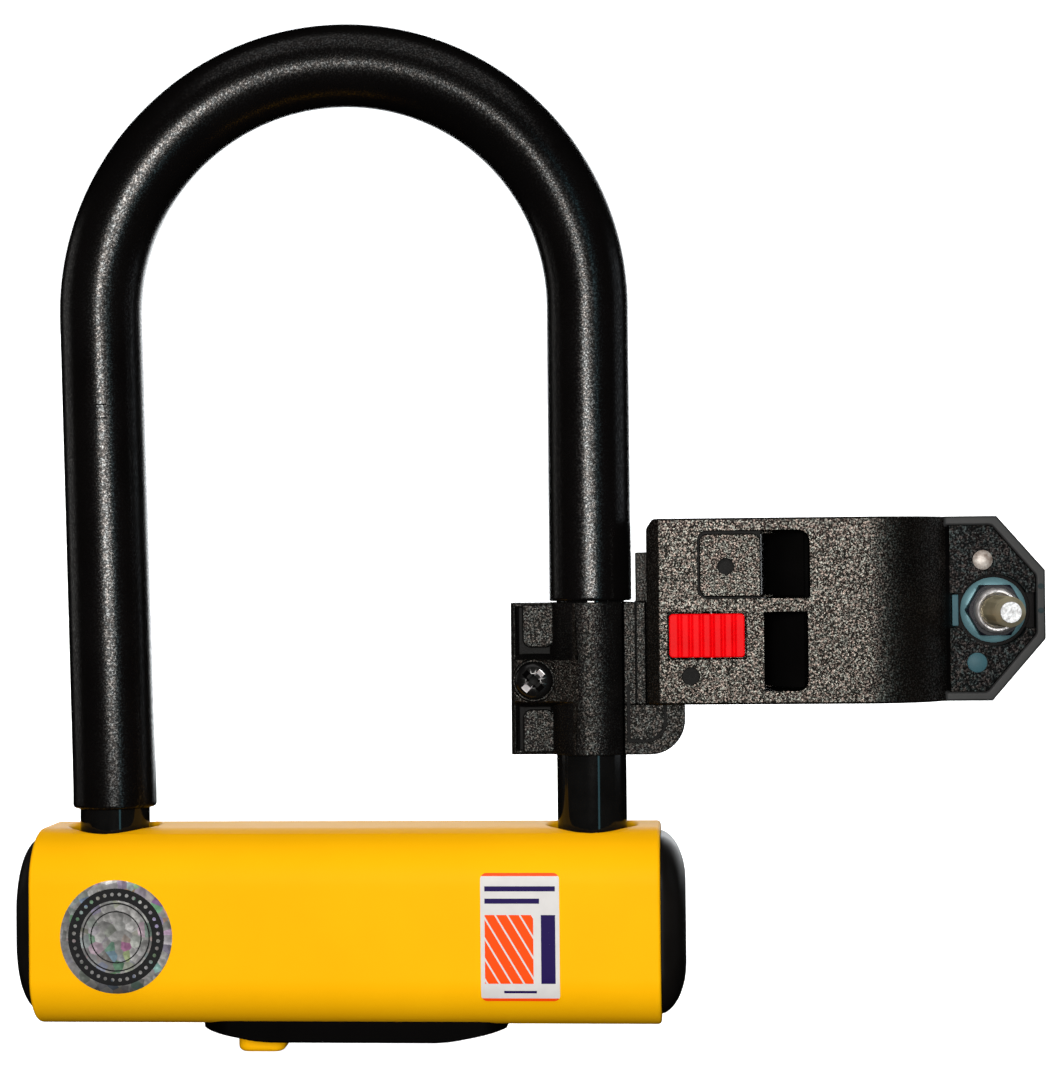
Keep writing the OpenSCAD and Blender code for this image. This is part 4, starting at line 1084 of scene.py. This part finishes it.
def build_studio():
    """A pale floor that sweeps up behind the object."""
    low = cad_box[0].z
    mat, shader = new_material("studio_white")
    tone = noise(mat, 400, 1.0)
    plug(mat, blend_colour(mat, tone, (0.88, 0.88, 0.88), (0.92, 0.92, 0.92)), shader.inputs["Base Color"])
    shader.inputs["Roughness"].default_value = 0.9
    shader.inputs["Emission Color"].default_value = (1, 1, 1, 1)
    shader.inputs["Emission Strength"].default_value = 0.95
    bm = bmesh.new()
    front, bend, sweep_r, top = -1.7, 0.35, 0.5, 1.3
    angles = [math.pi / 2 * k / 16 for k in range(17)]
    profile = [(front, low)]
    profile += [(bend + sweep_r * math.sin(a), low + sweep_r * (1 - math.cos(a))) for a in angles]
    profile.append((bend + sweep_r, low + top))
    rows = [[bm.verts.new((x, y, z)) for y, z in profile] for x in (-1.7, 1.8)]
    for i in range(len(profile) - 1):
        bm.faces.new((rows[0][i], rows[1][i], rows[1][i + 1], rows[0][i + 1]))
    mesh = bpy.data.meshes.new("studio_floor")
    bm.to_mesh(mesh)
    bm.free()
    mesh.shade_smooth()
    mesh.materials.append(mat)
    floor = bpy.data.objects.new("studio_floor", mesh)
    scene.collection.objects.link(floor)
    floor.visible_glossy = False
    floor.visible_diffuse = False


def area_light(name, at, size, power, colour=(1, 1, 1), aim=(10, 0, 70)):
    """A rectangular lamp at a point in millimetres about the crossbar's centre, facing aim."""
    data = bpy.data.lights.new(name, "AREA")
    data.shape = "RECTANGLE"
    data.size, data.size_y = size[0] * MM, size[1] * MM
    data.energy = power
    data.color = colour
    obj = bpy.data.objects.new(name, data)
    scene.collection.objects.link(obj)
    obj.location = place(at)
    obj.rotation_mode = "QUATERNION"
    obj.rotation_quaternion = (place(aim) - place(at)).to_track_quat("-Z", "Y")
    obj.visible_camera = False


def build_lights():
    world = bpy.data.worlds.new("studio")
    world.use_nodes = True
    background = world.node_tree.nodes["Background"]
    background.inputs[0].default_value = (0.95, 0.95, 0.95, 1)
    background.inputs[1].default_value = 1.0
    scene.world = world
    world.cycles_visibility.diffuse = False
    world.cycles_visibility.glossy = False
    area_light("upper_lamp", (5, -640, 166), (130, 110), 2.1, (1.0, 0.97, 0.93), (0, 0, 100))
    area_light("lower_lamp", (95, -640, 72), (240, 60), 2.4, (1.0, 0.97, 0.93), (20, 0, 40))
    area_light("top_panel", (0, -420, 1000), (1100, 700), 2.5, (1.0, 0.98, 0.96), (0, 0, 60))
    area_light("back_panel", (20, 760, 260), (900, 600), 9.0, (0.95, 0.98, 1.0))
    area_light("left_panel", (-950, 150, 200), (500, 500), 0.6, (1.0, 0.98, 0.95))
    area_light("right_panel", (1000, 150, 200), (500, 500), 0.6, (0.85, 0.93, 1.0))
    area_light("teal_strip", (560, -1100, 120), (120, 1300), 1.1, (0.35, 0.85, 1.0))


build_shell()
build_caps()
build_cover()
build_knob()
build_foil()
build_label()
build_sleeve()
build_clamp_front()
build_clamp_rear()
build_clamp_screw()
build_bracket()
build_bracket_trim()
build_jaw()
build_nut()
build_stud()
build_rocker()
finish_nodes()
build_studio()
build_lights()
